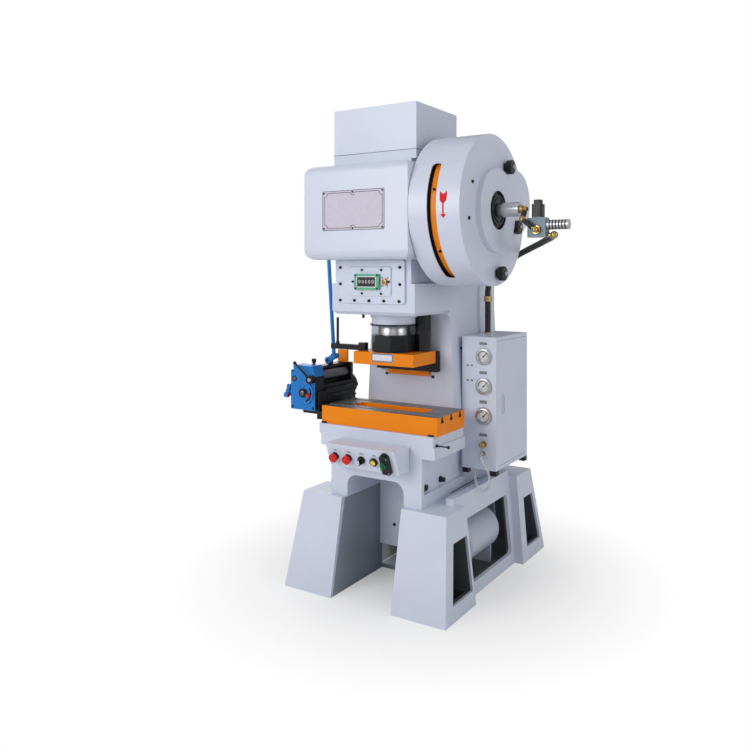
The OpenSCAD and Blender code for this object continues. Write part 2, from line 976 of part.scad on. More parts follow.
module flywheel() {
    color("#f0941a") difference() {
        union() {
            rod_x(belt_x[1], wheel_x1, slide_y, crank_z, wheel_r);
            rod_x(belt_x[0], wheel_x1, slide_y, crank_z, belt_seat_r);
        }
        difference() {
            rod_x(belt_x[0] - cut, wheel_web_x[0], slide_y, crank_z, belt_seat_r - wheel_rim_t);
            rod_x(belt_x[0] - 2 * cut, wheel_web_x[0] + cut, slide_y, crank_z, wheel_hub_r);
        }
        difference() {
            rod_x(wheel_web_x[1], wheel_x1 + cut, slide_y, crank_z, wheel_r - wheel_rim_t);
            rod_x(wheel_web_x[1] - cut, wheel_x1 + 2 * cut, slide_y, crank_z, wheel_hub_r);
        }
        rod_x(belt_x[0] - cut, wheel_x1 + cut, slide_y, crank_z, bearing_r);
    }
}

module wheel_bearings() {
    color("#a9adb3") for (x0 = [belt_x[0], wheel_x1 - bearing_w]) {
        difference() {
            rod_x(x0, x0 + bearing_w, slide_y, crank_z, bearing_r);
            rod_x(x0 - cut, x0 + bearing_w + cut, slide_y, crank_z, journal_r + run_gap);
        }
    }
}

module drive_belts() {
    big = belt_seat_r + seat_gap;
    small = pulley_r + seat_gap;
    color("#1d1e20") for (i = [0:belt_count - 1]) {
        x0 = belt_x[0] + i * belt_pitch + belt_gap / 2;
        along_x(x0, x0 + belt_lane) difference() {
            belt_outline(crank_c, big + belt_t, motor_c, small + belt_t);
            belt_outline(crank_c, big, motor_c, small);
        }
    }
}

module motor() {
    color("#5d6b78") difference() {
        union() {
            rod_x(motor_x[0], motor_x[1], motor_y, motor_z, motor_r - motor_fin_h);
            for (i = [0:motor_fins - 1]) {
                translate([motor_x[0] + motor_end, motor_y, motor_z]) rotate([360 * i / motor_fins, 0, 0])
                    translate([0, -motor_fin_t / 2, 0])
                    cube([motor_x[1] - motor_x[0] - 2 * motor_end, motor_fin_t, motor_r]);
            }
            for (x = motor_feet_x) {
                block(
                    [x - motor_foot[0] / 2, motor_y - motor_foot[1] / 2, shelf_z],
                    [x + motor_foot[0] / 2, motor_y + motor_foot[1] / 2, shelf_z + motor_foot[2]]
                );
                block(
                    [x - motor_foot[0] / 2, motor_y - motor_leg_l / 2, shelf_z],
                    [x + motor_foot[0] / 2, motor_y + motor_leg_l / 2, motor_z - motor_r / 2]
                );
            }
            block(
                [-terminal_w / 2, motor_y - terminal_w / 2, motor_z + motor_r / 2],
                [terminal_w / 2, motor_y + terminal_w / 2, motor_z + motor_r + terminal_h]
            );
        }
        rod_x(motor_x[1] - motor_end, motor_x[1] + cut, motor_y, motor_z, motor_shaft_r + run_gap);
    }
}

module motor_pulley() {
    color("#3b3f45") union() {
        rod_x(motor_x[1] - motor_end + cut, belt_x[1], motor_y, motor_z, motor_shaft_r);
        rod_x(belt_x[0], belt_x[1], motor_y, motor_z, pulley_r);
    }
}

// Crankshaft, connecting rod and slide
feed_disc_r = journal_r + feed_throw;

module crankshaft() {
    color("#9a9ea5") union() {
        rod_x(feed_disc_x[0], wheel_x1, slide_y, crank_z, journal_r);
        rod_x(-eccentric_x, eccentric_x, slide_y, crank_z + throw, eccentric_r);
        rod_x(feed_disc_x[0], feed_disc_x[1], slide_y, crank_z + feed_throw, feed_disc_r);
    }
}

module crank_bushes() {
    color("#b8853a") mirrored_x() difference() {
        rod_x(crank_room_x, boss_x, slide_y, crank_z, bush_r);
        rod_x(crank_room_x - cut, boss_x + cut, slide_y, crank_z, journal_r + run_gap);
    }
}

module hub_cap() {
    color("#1c1d20") difference() {
        union() {
            rod_x(wheel_x1, cap_x[0], slide_y, crank_z, cap_r);
            rod_x(wheel_x1, cap_x[1], slide_y, crank_z, cap_step_r);
        }
        rod_x(cap_x[1] - union_stub_l, cap_x[1] + cut, slide_y, crank_z, union_stub_r + run_gap);
    }
}

module connecting_rod() {
    ring_z = crank_z + throw;
    color("#7f848b") difference() {
        union() {
            rod_x(-rod_ring_x, rod_ring_x, slide_y, ring_z, rod_ring_r);
            rod_z(ball_z, ring_z, 0, slide_y, rod_shank_r);
            translate([0, slide_y, ball_z]) sphere(rod_ball_r);
        }
        rod_x(-rod_ring_x - cut, rod_ring_x + cut, slide_y, ring_z, eccentric_r + run_gap);
    }
}

module guide_bush() {
    color("#b9bdc6") difference() {
        union() {
            rod_z(head_z, crank_room_z, 0, slide_y, bush_body_r);
            rod_z(head_z - collar_h, head_z, 0, slide_y, collar_r[0]);
            rod_z(head_z - collar_h / 3, head_z, 0, slide_y, collar_r[1]);
        }
        rod_z(head_z - collar_h - cut, crank_room_z + cut, 0, slide_y, plunger_r + run_gap);
        rod_z(head_z - collar_h - cut, head_z + cut, post_x, slide_y + post_dy, post_r + door_gap);
    }
}

module plunger() {
    color("#c3c6ca") difference() {
        rod_z(slide_top_z + nut_h, plunger_top_z, 0, slide_y, plunger_r);
        rod_z(ball_z - rod_ball_r - cup_clear, plunger_top_z + cut, 0, slide_y, cup_r);
    }
}

module lock_nut() {
    color("#1b1c1f") translate([0, slide_y, slide_top_z]) rotate(180 / nut_sides)
        cylinder(h = nut_h, r = nut_r, $fn = nut_sides);
}

module slide_plate() {
    color("#f0941a") difference() {
        block([-slide_x, slide_y - slide_front, slide_z], [slide_x, slide_y + slide_back, slide_top_z]);
        rod_z(slide_z - cut, slide_z + shank_depth, 0, slide_y, shank_r);
    }
}

module guide_post() {
    color("#191a1c") rod_z(slide_top_z, head_z + post_top, post_x, slide_y + post_dy, post_r);
}

module rear_guide() {
    color("#4b4e52") block(
        [-guide_x, slide_y + slide_back + run_gap, head_z - guide_z[0]],
        [guide_x, column_front_y, head_z - guide_z[1]]
    );
}

module guide_bar() {
    z1 = head_z - guide_z[0];
    color("#f0941a") block([-bar_x, column_front_y - bar_t, z1 - bar_h], [bar_x, column_front_y, z1]);
}

module release_arm() {
    y = slide_y + arm_dy;
    color("#1c1d20") union() {
        block([arm_x[0], y - arm_w / 2, slide_top_z], [arm_x[1], y + arm_w / 2, slide_top_z + arm_t]);
        block([arm_pad_x, y - arm_w / 2, slide_top_z], [arm_x[1], y + arm_w / 2, slide_top_z + arm_pad_h]);
        rod_z(slide_top_z, slide_top_z + push_rod_h, push_rod_x, y, push_rod_r);
        translate([push_rod_x, y, slide_top_z + arm_t + push_ball_r / 2]) sphere(push_ball_r);
    }
}

// Air line
hose_last = len(hose_points) - 1;
hose_route = [for (i = [0:hose_last]) let (p = hose_points[i])
    [p[0], p[1], i == hose_last ? cabinet_z1 + hose_gland_h : crank_z + p[2]]];
hose_end = hose_route[hose_last];
hose_way = unit(hose_route[1] - hose_route[0]);
elbow_c = hose_route[0] - elbow_nut_l * hose_way;

module rotary_union() {
    color("#c9ccd1") union() {
        rod_x(union_x[0], union_x[1], slide_y, crank_z, union_r);
        rod_x(cap_x[1] - union_stub_l + cut, union_x[0], slide_y, crank_z, union_stub_r);
    }
}

module union_pipe() {
    bend = [union_x[1] + pipe_reach, slide_y, crank_z];
    port = [valve_x[0] + valve_port[0], slide_y - valve_w / 2 - pipe_reach, valve_z[0] + valve_port[1]];
    turn = [bend[0] + pipe_turn[0], port[1], crank_z - pipe_turn[1]];
    rod_x(union_x[1], union_x[1] + pipe_nut_l, slide_y, crank_z, pipe_nut_r);
    rod_x(union_x[1], bend[0], slide_y, crank_z, pipe_r);
    translate(bend) sphere(pipe_bend_r);
    rod_between(bend, turn, pipe_hose_r);
    translate(turn) sphere(pipe_bend_r);
    rod_between(turn, port, pipe_hose_r);
    translate(port) sphere(pipe_bend_r);
    rod_y(port[1], port[1] + pipe_reach, port[0], port[2], pipe_r);
    rod_y(port[1] + pipe_reach - pipe_nut_l, port[1] + pipe_reach, port[0], port[2], pipe_nut_r);
}

module hose_elbow() {
    rod_x(valve_x[1], elbow_c[0], elbow_c[1], elbow_c[2], stub_r);
    translate(elbow_c) sphere(elbow_r);
    rod_between(elbow_c, hose_route[0], elbow_nut_r);
}

// Fittings on the front of the cabinet and where the hose enters its top
module cabinet_fittings() {
    x = cabinet_x0 + gauge_dx;
    rod_y(cabinet_y0 - regulator_l[0], cabinet_y0, x, cabinet_z + regulator_z, regulator_r[0]);
    rod_y(cabinet_y0 - regulator_l[1], cabinet_y0, x, cabinet_z + regulator_z, regulator_r[1]);
    rod_y(cabinet_y0 - port_l, cabinet_y0, x, cabinet_z + port_z, port_r);
    rod_z(cabinet_z1, cabinet_z1 + hose_gland_h, hose_end[0], hose_end[1], hose_gland_r);
}

module brass_fittings() {
    clamp_z = crank_z - hose_clamp_drop;
    color("#a9853f") {
        union_pipe();
        hose_elbow();
        cabinet_fittings();
        difference() {
            rod_z(clamp_z, clamp_z + hose_clamp_h, hose_end[0], hose_end[1], hose_clamp_r);
            rod_z(clamp_z - cut, clamp_z + hose_clamp_h + cut, hose_end[0], hose_end[1], hose_r + seat_gap);
        }
    }
}

module air_valve() {
    x = (valve_x[0] + valve_x[1]) / 2;
    color("#4d5c62") union() {
        block(
            [valve_x[0], slide_y - valve_w / 2, valve_z[0]],
            [valve_x[1], slide_y + valve_w / 2, valve_z[1]]
        );
        block(
            [x - coil_w / 2, slide_y - coil_w / 2, valve_z[1]],
            [x + coil_w / 2, slide_y + coil_w / 2, valve_z[1] + coil_h]
        );
        rod_z(valve_z[1] + coil_h, valve_z[1] + coil_h + coil_plug_h, x, slide_y, coil_plug_r);
    }
}

module silencer() {
    z = valve_z[1] - silencer_drop;
    pitch = silencer_l / silencer_rings;
    color("#c6c9ce") union() {
        rod_x(valve_x[1], valve_x[1] + silencer_l, slide_y, z, silencer_r - silencer_groove);
        for (i = [0:silencer_rings - 1]) {
            rod_x(valve_x[1] + (i + 0.4) * pitch, valve_x[1] + (i + 1) * pitch, slide_y, z, silencer_r);
        }
    }
}

module air_hose() {
    color("#17181a") swept_tube(hose_route, hose_r, hose_sides);
}

// Air cabinet
module cabinet_body() {
    door_lo = [cabinet_x1 - sheet - cut, cabinet_y0 + door_frame_y, cabinet_z + door_frame_z];
    door_hi = [cabinet_x1 + cut, cabinet_y1 - door_frame_y, cabinet_z1 - door_frame_z];
    color("#cdd1de") difference() {
        block([cabinet_x0, cabinet_y0, cabinet_z], [cabinet_x1, cabinet_y1, cabinet_z1]);
        block(
            [cabinet_x0 + sheet, cabinet_y0 + sheet, cabinet_z + sheet],
            [cabinet_x1 - sheet, cabinet_y1 - sheet, cabinet_z1 - sheet]
        );
        block(door_lo, door_hi);
        door_knuckles(seat_gap);
        for (z = gauge_zs) {
            rod_y(
                cabinet_y0 - cut, cabinet_y0 + sheet + cut,
                cabinet_x0 + gauge_dx, cabinet_z + z, gauge_dial_r
            );
        }
    }
}

door_axis_y = cabinet_y1 - door_frame_y - seat_gap;

module door_knuckles(room) {
    for (z = hinge_zs) {
        foot = cabinet_z + z;
        rod_z(foot - room, foot + hinge_l + room, cabinet_x1, door_axis_y, hinge_r + room);
    }
}

module cabinet_door() {
    y0 = cabinet_y0 + door_frame_y + door_gap;
    pull_y = y0 + pull_dy;
    z = cabinet_z + pull_z;
    color("#b9bdca") {
        difference() {
            block(
                [cabinet_x1 - sheet, y0, cabinet_z + door_frame_z + door_gap],
                [cabinet_x1, door_axis_y, cabinet_z1 - door_frame_z - door_gap]
            );
            along_x(cabinet_x1 - pull_depth, cabinet_x1 + cut) round_rect(
                [pull_y - pull_r - run_gap, z], [pull_y + pull_r + run_gap, z + pull_h], pull_r
            );
        }
        door_knuckles(0);
    }
}

// Brackets on the column's side and the glands under the cabinet
module cabinet_mounts() {
    color("#1b1c1e") {
        for (x = [cabinet_x0, cabinet_x1 - gland_size], y = [cabinet_y0, cabinet_y1 - gland_size]) {
            block([x, y, cabinet_z - gland_h], [x + gland_size, y + gland_size, cabinet_z]);
        }
        for (y = bracket_ys, dz = bracket_zs) {
            z0 = cabinet_z + dz;
            z1 = z0 + bracket_h;
            along_y(y - bracket_w, y) polygon([
                [column_x_at(z0), z0], [cabinet_x0, z0], [cabinet_x0, z1], [column_x_at(z1), z1]
            ]);
        }
    }
}

module gauge_cases() {
    x = cabinet_x0 + gauge_dx;
    y = cabinet_y0;
    color("#c9ccd1") for (dz = gauge_zs) {
        z = cabinet_z + dz;
        difference() {
            union() {
                rod_y(y - gauge_flange_t, y, x, z, gauge_r);
                rod_y(y, y + gauge_body_l, x, z, gauge_dial_r - seat_gap);
            }
            rod_y(y - gauge_flange_t - cut, y - gauge_dial_t, x, z, gauge_dial_r);
        }
        rod_y(y - gauge_dial_t - needle_lift, y - gauge_dial_t, x, z, needle_hub_r / 2);
    }
}

module needle(dz) {
    x = cabinet_x0 + gauge_dx;
    y1 = cabinet_y0 - gauge_dial_t - needle_lift;
    z = cabinet_z + dz;
    color("#101114") union() {
        translate([x, y1 - needle_t, z]) rotate([0, -needle_angle, 0])
            translate([-needle_tail, 0, -needle_w / 2]) cube([needle_l + needle_tail, needle_t, needle_w]);
        rod_y(y1 - needle_t, y1, x, z, needle_hub_r);
    }
}

module needle_1() {
    needle(gauge_zs[0]);
}

module needle_2() {
    needle(gauge_zs[1]);
}

module needle_3() {
    needle(gauge_zs[2]);
}

module drain_tube() {
    corner = [cabinet_x0, cabinet_y0, cabinet_z];
    color("#dfe6e6") swept_tube([for (p = tube_points) corner + p], tube_r, tube_sides);
}

// Control panel
panel_y0 = leg_front_y - panel_top_l;
panel_lean = panel_top_l - panel_foot_l;
panel_tilt = atan(panel_lean / panel_h);

module panel_outline() {
    polygon([
        [leg_front_y, panel_z], [leg_front_y - panel_foot_l, panel_z], [panel_y0, panel_z + panel_h],
        [leg_front_y, panel_z + panel_h]
    ]);
}

module panel_box() {
    color("#cdd1de") along_x(-panel_x, panel_x) panel_outline();
}

// Puts its children on the panel's face, their Z pointing out of it
module on_panel(x) {
    translate([x, panel_y0 + panel_lean * button_share, panel_z + panel_h * (1 - button_share)])
        rotate([90 + panel_tilt, 0, 0]) children();
}

module ring(r, h, bore) {
    difference() {
        cylinder(h = h, r = r);
        translate([0, 0, -cut]) cylinder(h = h + 2 * cut, r = bore);
    }
}

module button_bezels() {
    color("#17181a") for (x = button_xs) {
        on_panel(x) ring(bezel_r, bezel_h, bezel_bore);
    }
}

module stop_button(x) {
    lift = bezel_h + press_travel + seat_gap;
    color("#d8232a") on_panel(x) union() {
        translate([0, 0, press_travel + seat_gap]) cylinder(h = bezel_h, r = stem_r);
        translate([0, 0, lift]) cylinder(h = stop_h, r = stop_r);
    }
}

module stop_button_1() {
    stop_button(button_xs[0]);
}

module stop_button_2() {
    stop_button(button_xs[1]);
}

module selector_knob() {
    color("#202124") on_panel(button_xs[2]) union() {
        cylinder(h = bezel_h + seat_gap, r = stem_r);
        translate([0, 0, bezel_h + seat_gap]) cylinder(h = selector_h / 3, r = selector_r);
        translate([-selector_bar / 2, -selector_r, bezel_h + seat_gap])
            cube([selector_bar, 2 * selector_r, selector_h]);
    }
}

module start_button() {
    color("#e9c52f") on_panel(button_xs[3]) translate([0, 0, press_travel + seat_gap])
        cylinder(h = bezel_h + start_h - press_travel, r = stem_r);
}

module switch_box() {
    s = switch_size;
    t = switch_tab;
    color("#141517") on_panel(switch_px) difference() {
        union() {
            translate([-s[0] / 2, -s[1] / 2, 0]) cube(s);
            for (y = [-s[1] / 2 - t[1], s[1] / 2]) {
                translate([-t[0] / 2, y, 0]) cube(t);
            }
            translate([0, 0, s[2]]) cylinder(h = switch_ring_h, r = switch_ring_r);
        }
        translate([0, 0, s[2]]) cylinder(h = switch_ring_h + cut, r = stem_r + run_gap);
    }
}

module switch_handle() {
    z0 = switch_size[2] + switch_ring_h + seat_gap;
    color("#1f6b3c") on_panel(switch_px) translate([0, 0, z0]) union() {
        translate([0, 0, -switch_ring_h]) cylinder(h = switch_ring_h, r = stem_r);
        cylinder(h = handle_t, r = handle_r);
        translate([-handle_bar / 2, -handle_r, 0]) cube([handle_bar, 2 * handle_r, 2 * handle_t]);
    }
}

// Air tank
module tank_outline() {
    low = tank_y[0] + tank_dome;
    high = tank_y[1] - tank_dome;
    polygon(concat(
        [for (a = [90:-10:0]) [tank_r * cos(a), low - tank_dome * sin(a)]],
        [for (a = [0:10:90]) [tank_r * cos(a), high + tank_dome * sin(a)]]
    ));
}

module air_tank() {
    color("#bfc3cc") union() {
        translate([tank_x, 0, tank_z]) rotate([-90, 0, 0]) rotate_extrude() tank_outline();
        for (y = tank_leg_ys) {
            block(
                [tank_x - tank_leg_w / 2, y, base_floor_t],
                [tank_x + tank_leg_w / 2, y + tank_leg_t, tank_z]
            );
        }
        rod_z(tank_z, tank_z + tank_r + tank_port_h, tank_x, 0, tank_port_r);
    }
}

// Feeder
feed_z0 = bed_top_z;

module gear_outline() {
    z0 = feed_z0 + gear_z[0];
    z1 = feed_z0 + gear_z[1];
    polygon([
        [gear_x[0], z0], [gear_x[1], z0],
        [gear_x[1], z1 - gear_corner[1]], [gear_x[1] - gear_corner[0], z1],
        [gear_x[0] + gear_step[0], z1], [gear_x[0] + gear_step[0], z1 - gear_step[1]],
        [gear_x[0], z1 - gear_step[1]]
    ]);
}

module dial_slot_outline() {
    reach = 2 * dial_r;
    a = dial_slot_deg;
    mid = (a[0] + a[1]) / 2;
    intersection() {
        difference() {
            circle(dial_slot_r[1]);
            circle(dial_slot_r[0]);
        }
        polygon([
            [0, 0], reach * [cos(a[0]), sin(a[0])],
            reach * [cos(mid), sin(mid)], reach * [cos(a[1]), sin(a[1])]
        ]);
    }
}

module feeder_gearbox() {
    dial_y = gear_y[0] - dial_t;
    color("#2f83d6") difference() {
        union() {
            along_y(gear_y[0], gear_y[1]) gear_outline();
            rod_y(dial_y, gear_y[0], roll_x, low_roll_z, dial_r);
        }
        along_y(dial_y - cut, dial_y + dial_slot_depth) translate([roll_x, low_roll_z]) dial_slot_outline();
        rod_y(gear_y[0] - cut, gear_y[0] + peep_depth, peep[0], feed_z0 + peep[1], peep[2]);
        for (z = [low_roll_z, top_roll_z]) {
            rod_y(gear_y[1] - shaft_reach, gear_y[1] + cut, roll_x, z, roll_shaft_r + run_gap);
        }
    }
}

module housing_solid() {
    deck = strip_z - house_under_strip;
    end_z = feed_z0 + end_top;
    block([house_x[0], gear_y[1], feed_z0 + house_z0], [house_x[1], house_y1, deck]);
    block([end_x[0], gear_y[1], feed_z0 + house_z0], [end_x[1], gear_y[1] + end_t, end_z]);
    block([end_x[0], house_y1 - end_t, feed_z0 + house_z0], [end_x[1], house_y1, end_z]);
    block([tie_x[0], gear_y[1], end_z - tie_h], [tie_x[1], house_y1, end_z]);
    rod_y(house_y1 - drum_l, house_y1, roll_x, low_roll_z, drum_r);
    block([house_x[1] - cut, gear_y[1], feed_z0 + lip_z[0]], [lip_x, house_y1, feed_z0 + lip_z[1]]);
    for (z = rib_zs) {
        block(
            [house_x[1] - cut, gear_y[1], feed_z0 + z],
            [house_x[1] + rib_out, house_y1, feed_z0 + z + rib_h]
        );
    }
}

module housing_foot() {
    z0 = feed_z0 + house_z0;
    block([house_x[0], gear_y[1], z0 - foot_shelf_h], [-bolster_x, house_y1, z0]);
    block(
        [foot_plate_x, toe_y[0], feed_z0 + foot_plate_z[0]],
        [-bolster_x, bolster_y[1], feed_z0 + foot_plate_z[1]]
    );
    block(
        [gear_x[1] + seat_gap, toe_y[0], feed_z0 + foot_plate_z[0]],
        [foot_plate_x, toe_y[1], feed_z0 + toe_z]
    );
}

module housing_screws() {
    end_z = feed_z0 + end_top;
    for (y = screw_ys) {
        rod_z(end_z, end_z + screw_h[0], screw_x, y, screw_r);
        rod_z(end_z + screw_h[0], end_z + screw_h[1], screw_x, y, screw_cap_r);
    }
}

module rocker_stand() {
    z = feed_z0 + rocker_pivot[1];
    y1 = rocker_y[1] + seat_gap;
    block(
        [rocker_pivot[0] - rocker_cheek_w / 2, y1, feed_z0 + end_top - tie_h],
        [rocker_pivot[0] + rocker_cheek_w / 2, y1 + rocker_cheek_t, z]
    );
    rod_y(y1, y1 + rocker_cheek_t, rocker_pivot[0], z, rocker_cheek_w / 2);
    rod_y(rocker_y[0], y1 + cut, rocker_pivot[0], z, rocker_pin_r);
}

module feeder_housing() {
    roll_y = [gear_y[1] + end_t, house_y1 - end_t];
    color("#1e2022") {
        difference() {
            union() {
                housing_solid();
                housing_foot();
                rocker_stand();
            }
            rod_y(roll_y[0], roll_y[1], roll_x, low_roll_z, roll_r + roll_clear);
            for (z = [low_roll_z, top_roll_z]) {
                rod_y(gear_y[1] - cut, house_y1 - drum_l / 4, roll_x, z, roll_shaft_r + run_gap);
            }
        }
        housing_screws();
    }
}

module feed_roll(z) {
    color("#8d9197") union() {
        rod_y(gear_y[1] + end_t + seat_gap, house_y1 - end_t - seat_gap, roll_x, z, roll_r);
        rod_y(gear_y[1] - shaft_reach + cut, house_y1 - end_t + shaft_reach / 2, roll_x, z, roll_shaft_r);
    }
}

module feed_roll_low() {
    feed_roll(low_roll_z);
}

module feed_roll_top() {
    feed_roll(top_roll_z);
}

rod_foot_z = feed_z0 + rod_foot_rise;

module feed_rocker() {
    pivot = [rocker_pivot[0], feed_z0 + rocker_pivot[1]];
    tip = [rod_foot_x, rod_foot_z];
    span = tip - pivot;
    color("#2f83d6") difference() {
        union() {
            rod_y(rocker_y[0], rocker_y[1], pivot[0], pivot[1], rocker_eye_r);
            rod_y(rocker_y[0], rocker_y[1], tip[0], tip[1], rocker_end_r);
            translate([pivot[0], 0, pivot[1]]) rotate([0, -atan2(span[1], span[0]), 0]) block(
                [0, rocker_y[0], -rocker_arm_w / 2], [norm(span), rocker_y[1], rocker_arm_w / 2]
            );
        }
        rod_y(rocker_y[0] - cut, rocker_y[1] + cut, pivot[0], pivot[1], rocker_pin_r + run_gap);
    }
}

module drive_rod() {
    z = crank_z + feed_throw;
    x = (feed_disc_x[0] + feed_disc_x[1]) / 2;
    foot = [rod_foot_x, slide_y, rod_foot_z];
    ring_x = [feed_disc_x[0] + feed_ring_in, feed_disc_x[1] - feed_ring_in];
    color("#2f83d6") difference() {
        union() {
            rod_x(ring_x[0], ring_x[1], slide_y, z, feed_disc_r + feed_ring_t);
            rod_between(foot, [x, slide_y, z], rod_r);
            rod_y(rod_eye_y[0], rod_eye_y[1], rod_foot_x, rod_foot_z, rod_eye_r);
        }
        rod_x(ring_x[0] - cut, ring_x[1] + cut, slide_y, z, feed_disc_r + run_gap);
    }
}

module feeder_lever() {
    y1 = gear_y[0] - seat_gap;
    y = y1 - lever_hub_l + lever_r;
    c = [lever_c[0], y, feed_z0 + lever_c[1]];
    tip = [lever_tip[0], y, feed_z0 + lever_tip[1]];
    color("#202225") union() {
        rod_y(y1 - lever_hub_l, y1, c[0], c[2], lever_hub_r);
        rod_between(c, tip, lever_r);
        translate(tip) sphere(lever_ball_r);
    }
}

module feeder_dial() {
    y1 = gear_y[0] - dial_t;
    tip = [roll_x + crank_arm_l, y1 - hub_t / 2, low_roll_z - crank_arm_r];
    color("#26282b") union() {
        rod_y(y1 - hub_t, y1, roll_x, low_roll_z, hub_r);
        rod_between([roll_x, y1 - hub_t / 2, low_roll_z], tip, crank_arm_r - run_gap);
        translate(tip) sphere(crank_arm_r);
    }
}

module feeder_upright() {
    end_z = feed_z0 + end_top;
    color("#e8901c") block(
        [upright_x[0], upright_y, end_z], [upright_x[1], upright_y + upright_t, end_z + upright_h]
    );
}

module feeder_handwheel() {
    z = feed_z0 + wheel_axis[1];
    color("#2f83d6") union() {
        rod_x(star_x[0], gear_x[0] - seat_gap, wheel_axis[0], z, star_hub_r);
        rod_x(star_x[0], star_x[1], wheel_axis[0], z, star_r);
        for (i = [0:star_arms - 1]) {
            a = 90 + 360 * i / star_arms;
            rod_x(
                star_x[0], star_x[1],
                wheel_axis[0] + star_arm * cos(a), z + star_arm * sin(a), star_lobe_r
            );
        }
    }
}

base();
frame();
inner_panel();
bolster();
crown_cover();
top_cover();
head_plate();
counter_unit();
flywheel_guard();
guard_knobs();
flywheel();
wheel_bearings();
drive_belts();
motor();
motor_pulley();
crankshaft();
crank_bushes();
hub_cap();
connecting_rod();
guide_bush();
plunger();
lock_nut();
slide_plate();
guide_post();
rear_guide();
guide_bar();
release_arm();
rotary_union();
brass_fittings();
air_valve();
silencer();
air_hose();
cabinet_body();
cabinet_door();
cabinet_mounts();
gauge_cases();
needle_1();
needle_2();
needle_3();
drain_tube();
panel_box();
button_bezels();
stop_button_1();
stop_button_2();
selector_knob();
start_button();
switch_box();
switch_handle();
air_tank();
feeder_gearbox();
feeder_housing();
feed_roll_low();
feed_roll_top();
feed_rocker();
drive_rod();
feeder_lever();
feeder_dial();
feeder_upright();
feeder_handwheel();
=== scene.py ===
"""Finish and fine detail of a high-speed punch press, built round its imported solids.

Lengths in the tables are millimetres in the press's own frame: X right, Y back, Z up, floor at zero.
"""

import json
import math
from contextlib import contextmanager

import bmesh
import bpy
from mathutils import Matrix, Vector
from mathutils.bvhtree import BVHTree

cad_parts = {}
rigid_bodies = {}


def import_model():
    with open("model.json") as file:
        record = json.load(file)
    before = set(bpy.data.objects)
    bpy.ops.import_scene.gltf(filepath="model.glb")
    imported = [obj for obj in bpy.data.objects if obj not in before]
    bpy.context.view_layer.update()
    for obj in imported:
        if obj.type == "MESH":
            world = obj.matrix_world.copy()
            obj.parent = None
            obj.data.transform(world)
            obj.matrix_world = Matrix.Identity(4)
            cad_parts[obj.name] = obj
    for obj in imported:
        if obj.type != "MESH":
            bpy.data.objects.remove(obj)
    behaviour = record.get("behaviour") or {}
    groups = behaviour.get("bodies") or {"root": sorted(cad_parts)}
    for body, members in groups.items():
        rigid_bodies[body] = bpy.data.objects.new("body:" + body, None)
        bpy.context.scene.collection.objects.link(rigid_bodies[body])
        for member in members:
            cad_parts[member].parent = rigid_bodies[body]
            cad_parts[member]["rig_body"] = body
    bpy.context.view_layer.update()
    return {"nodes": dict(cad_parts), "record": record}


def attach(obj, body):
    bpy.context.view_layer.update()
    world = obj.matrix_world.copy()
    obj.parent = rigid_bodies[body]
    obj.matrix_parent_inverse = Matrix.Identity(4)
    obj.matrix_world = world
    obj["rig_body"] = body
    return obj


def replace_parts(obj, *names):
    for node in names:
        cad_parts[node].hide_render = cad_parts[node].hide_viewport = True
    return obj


MM = 0.001
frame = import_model()
nodes = frame["nodes"]
scene = bpy.context.scene


def linked(name, data):
    """An object of the data, in the scene."""
    thing = bpy.data.objects.new(name, data)
    scene.collection.objects.link(thing)
    return thing


# Camera

CAMERA_PLACE = (1844.4, -3198.7, 1432.0)
CAMERA_YAW = 31.7
CAMERA_LENS = 36.44
CAMERA_SHIFT = (-0.0333, -0.1397)


def place_camera():
    lens = bpy.data.cameras.new("photo_camera")
    lens.sensor_width = 36
    lens.lens = CAMERA_LENS
    lens.shift_x, lens.shift_y = CAMERA_SHIFT
    lens.clip_end = 100
    camera = linked("photo_camera", lens)
    camera.location = Vector(CAMERA_PLACE) * MM
    camera.rotation_euler = (math.radians(90), 0, math.radians(CAMERA_YAW))
    scene.camera = camera


# Shader maths


def plug(tree, socket, value):
    """Gives a socket a signal or a plain value, and a plain colour its alpha."""
    if isinstance(value, Signal):
        tree.links.new(value.socket, socket)
    else:
        socket.default_value = (*value, 1) if socket.type == "RGBA" and len(value) == 3 else value


def operator(operation):
    """A method that works on a signal and one other value."""
    return lambda signal, other: signal.math(operation, other)


class Signal:
    """A shader socket that Python expressions can work on."""

    def __init__(self, tree, socket):
        self.tree, self.socket = tree, socket

    def math(self, operation, *others, first=None):
        node = self.tree.nodes.new("ShaderNodeMath")
        node.operation = operation
        values = (self, *others) if first is None else (first, self)
        for socket, value in zip(node.inputs, values):
            plug(self.tree, socket, value)
        return Signal(self.tree, node.outputs[0])

    def __rsub__(self, other):
        return self.math("SUBTRACT", first=other)

    __add__ = __radd__ = operator("ADD")
    __mul__ = __rmul__ = operator("MULTIPLY")
    __sub__ = operator("SUBTRACT")
    __truediv__ = operator("DIVIDE")
    __gt__ = operator("GREATER_THAN")
    __lt__ = operator("LESS_THAN")

    def clamped(self):
        return self.math("MINIMUM", 1.0).math("MAXIMUM", 0.0)


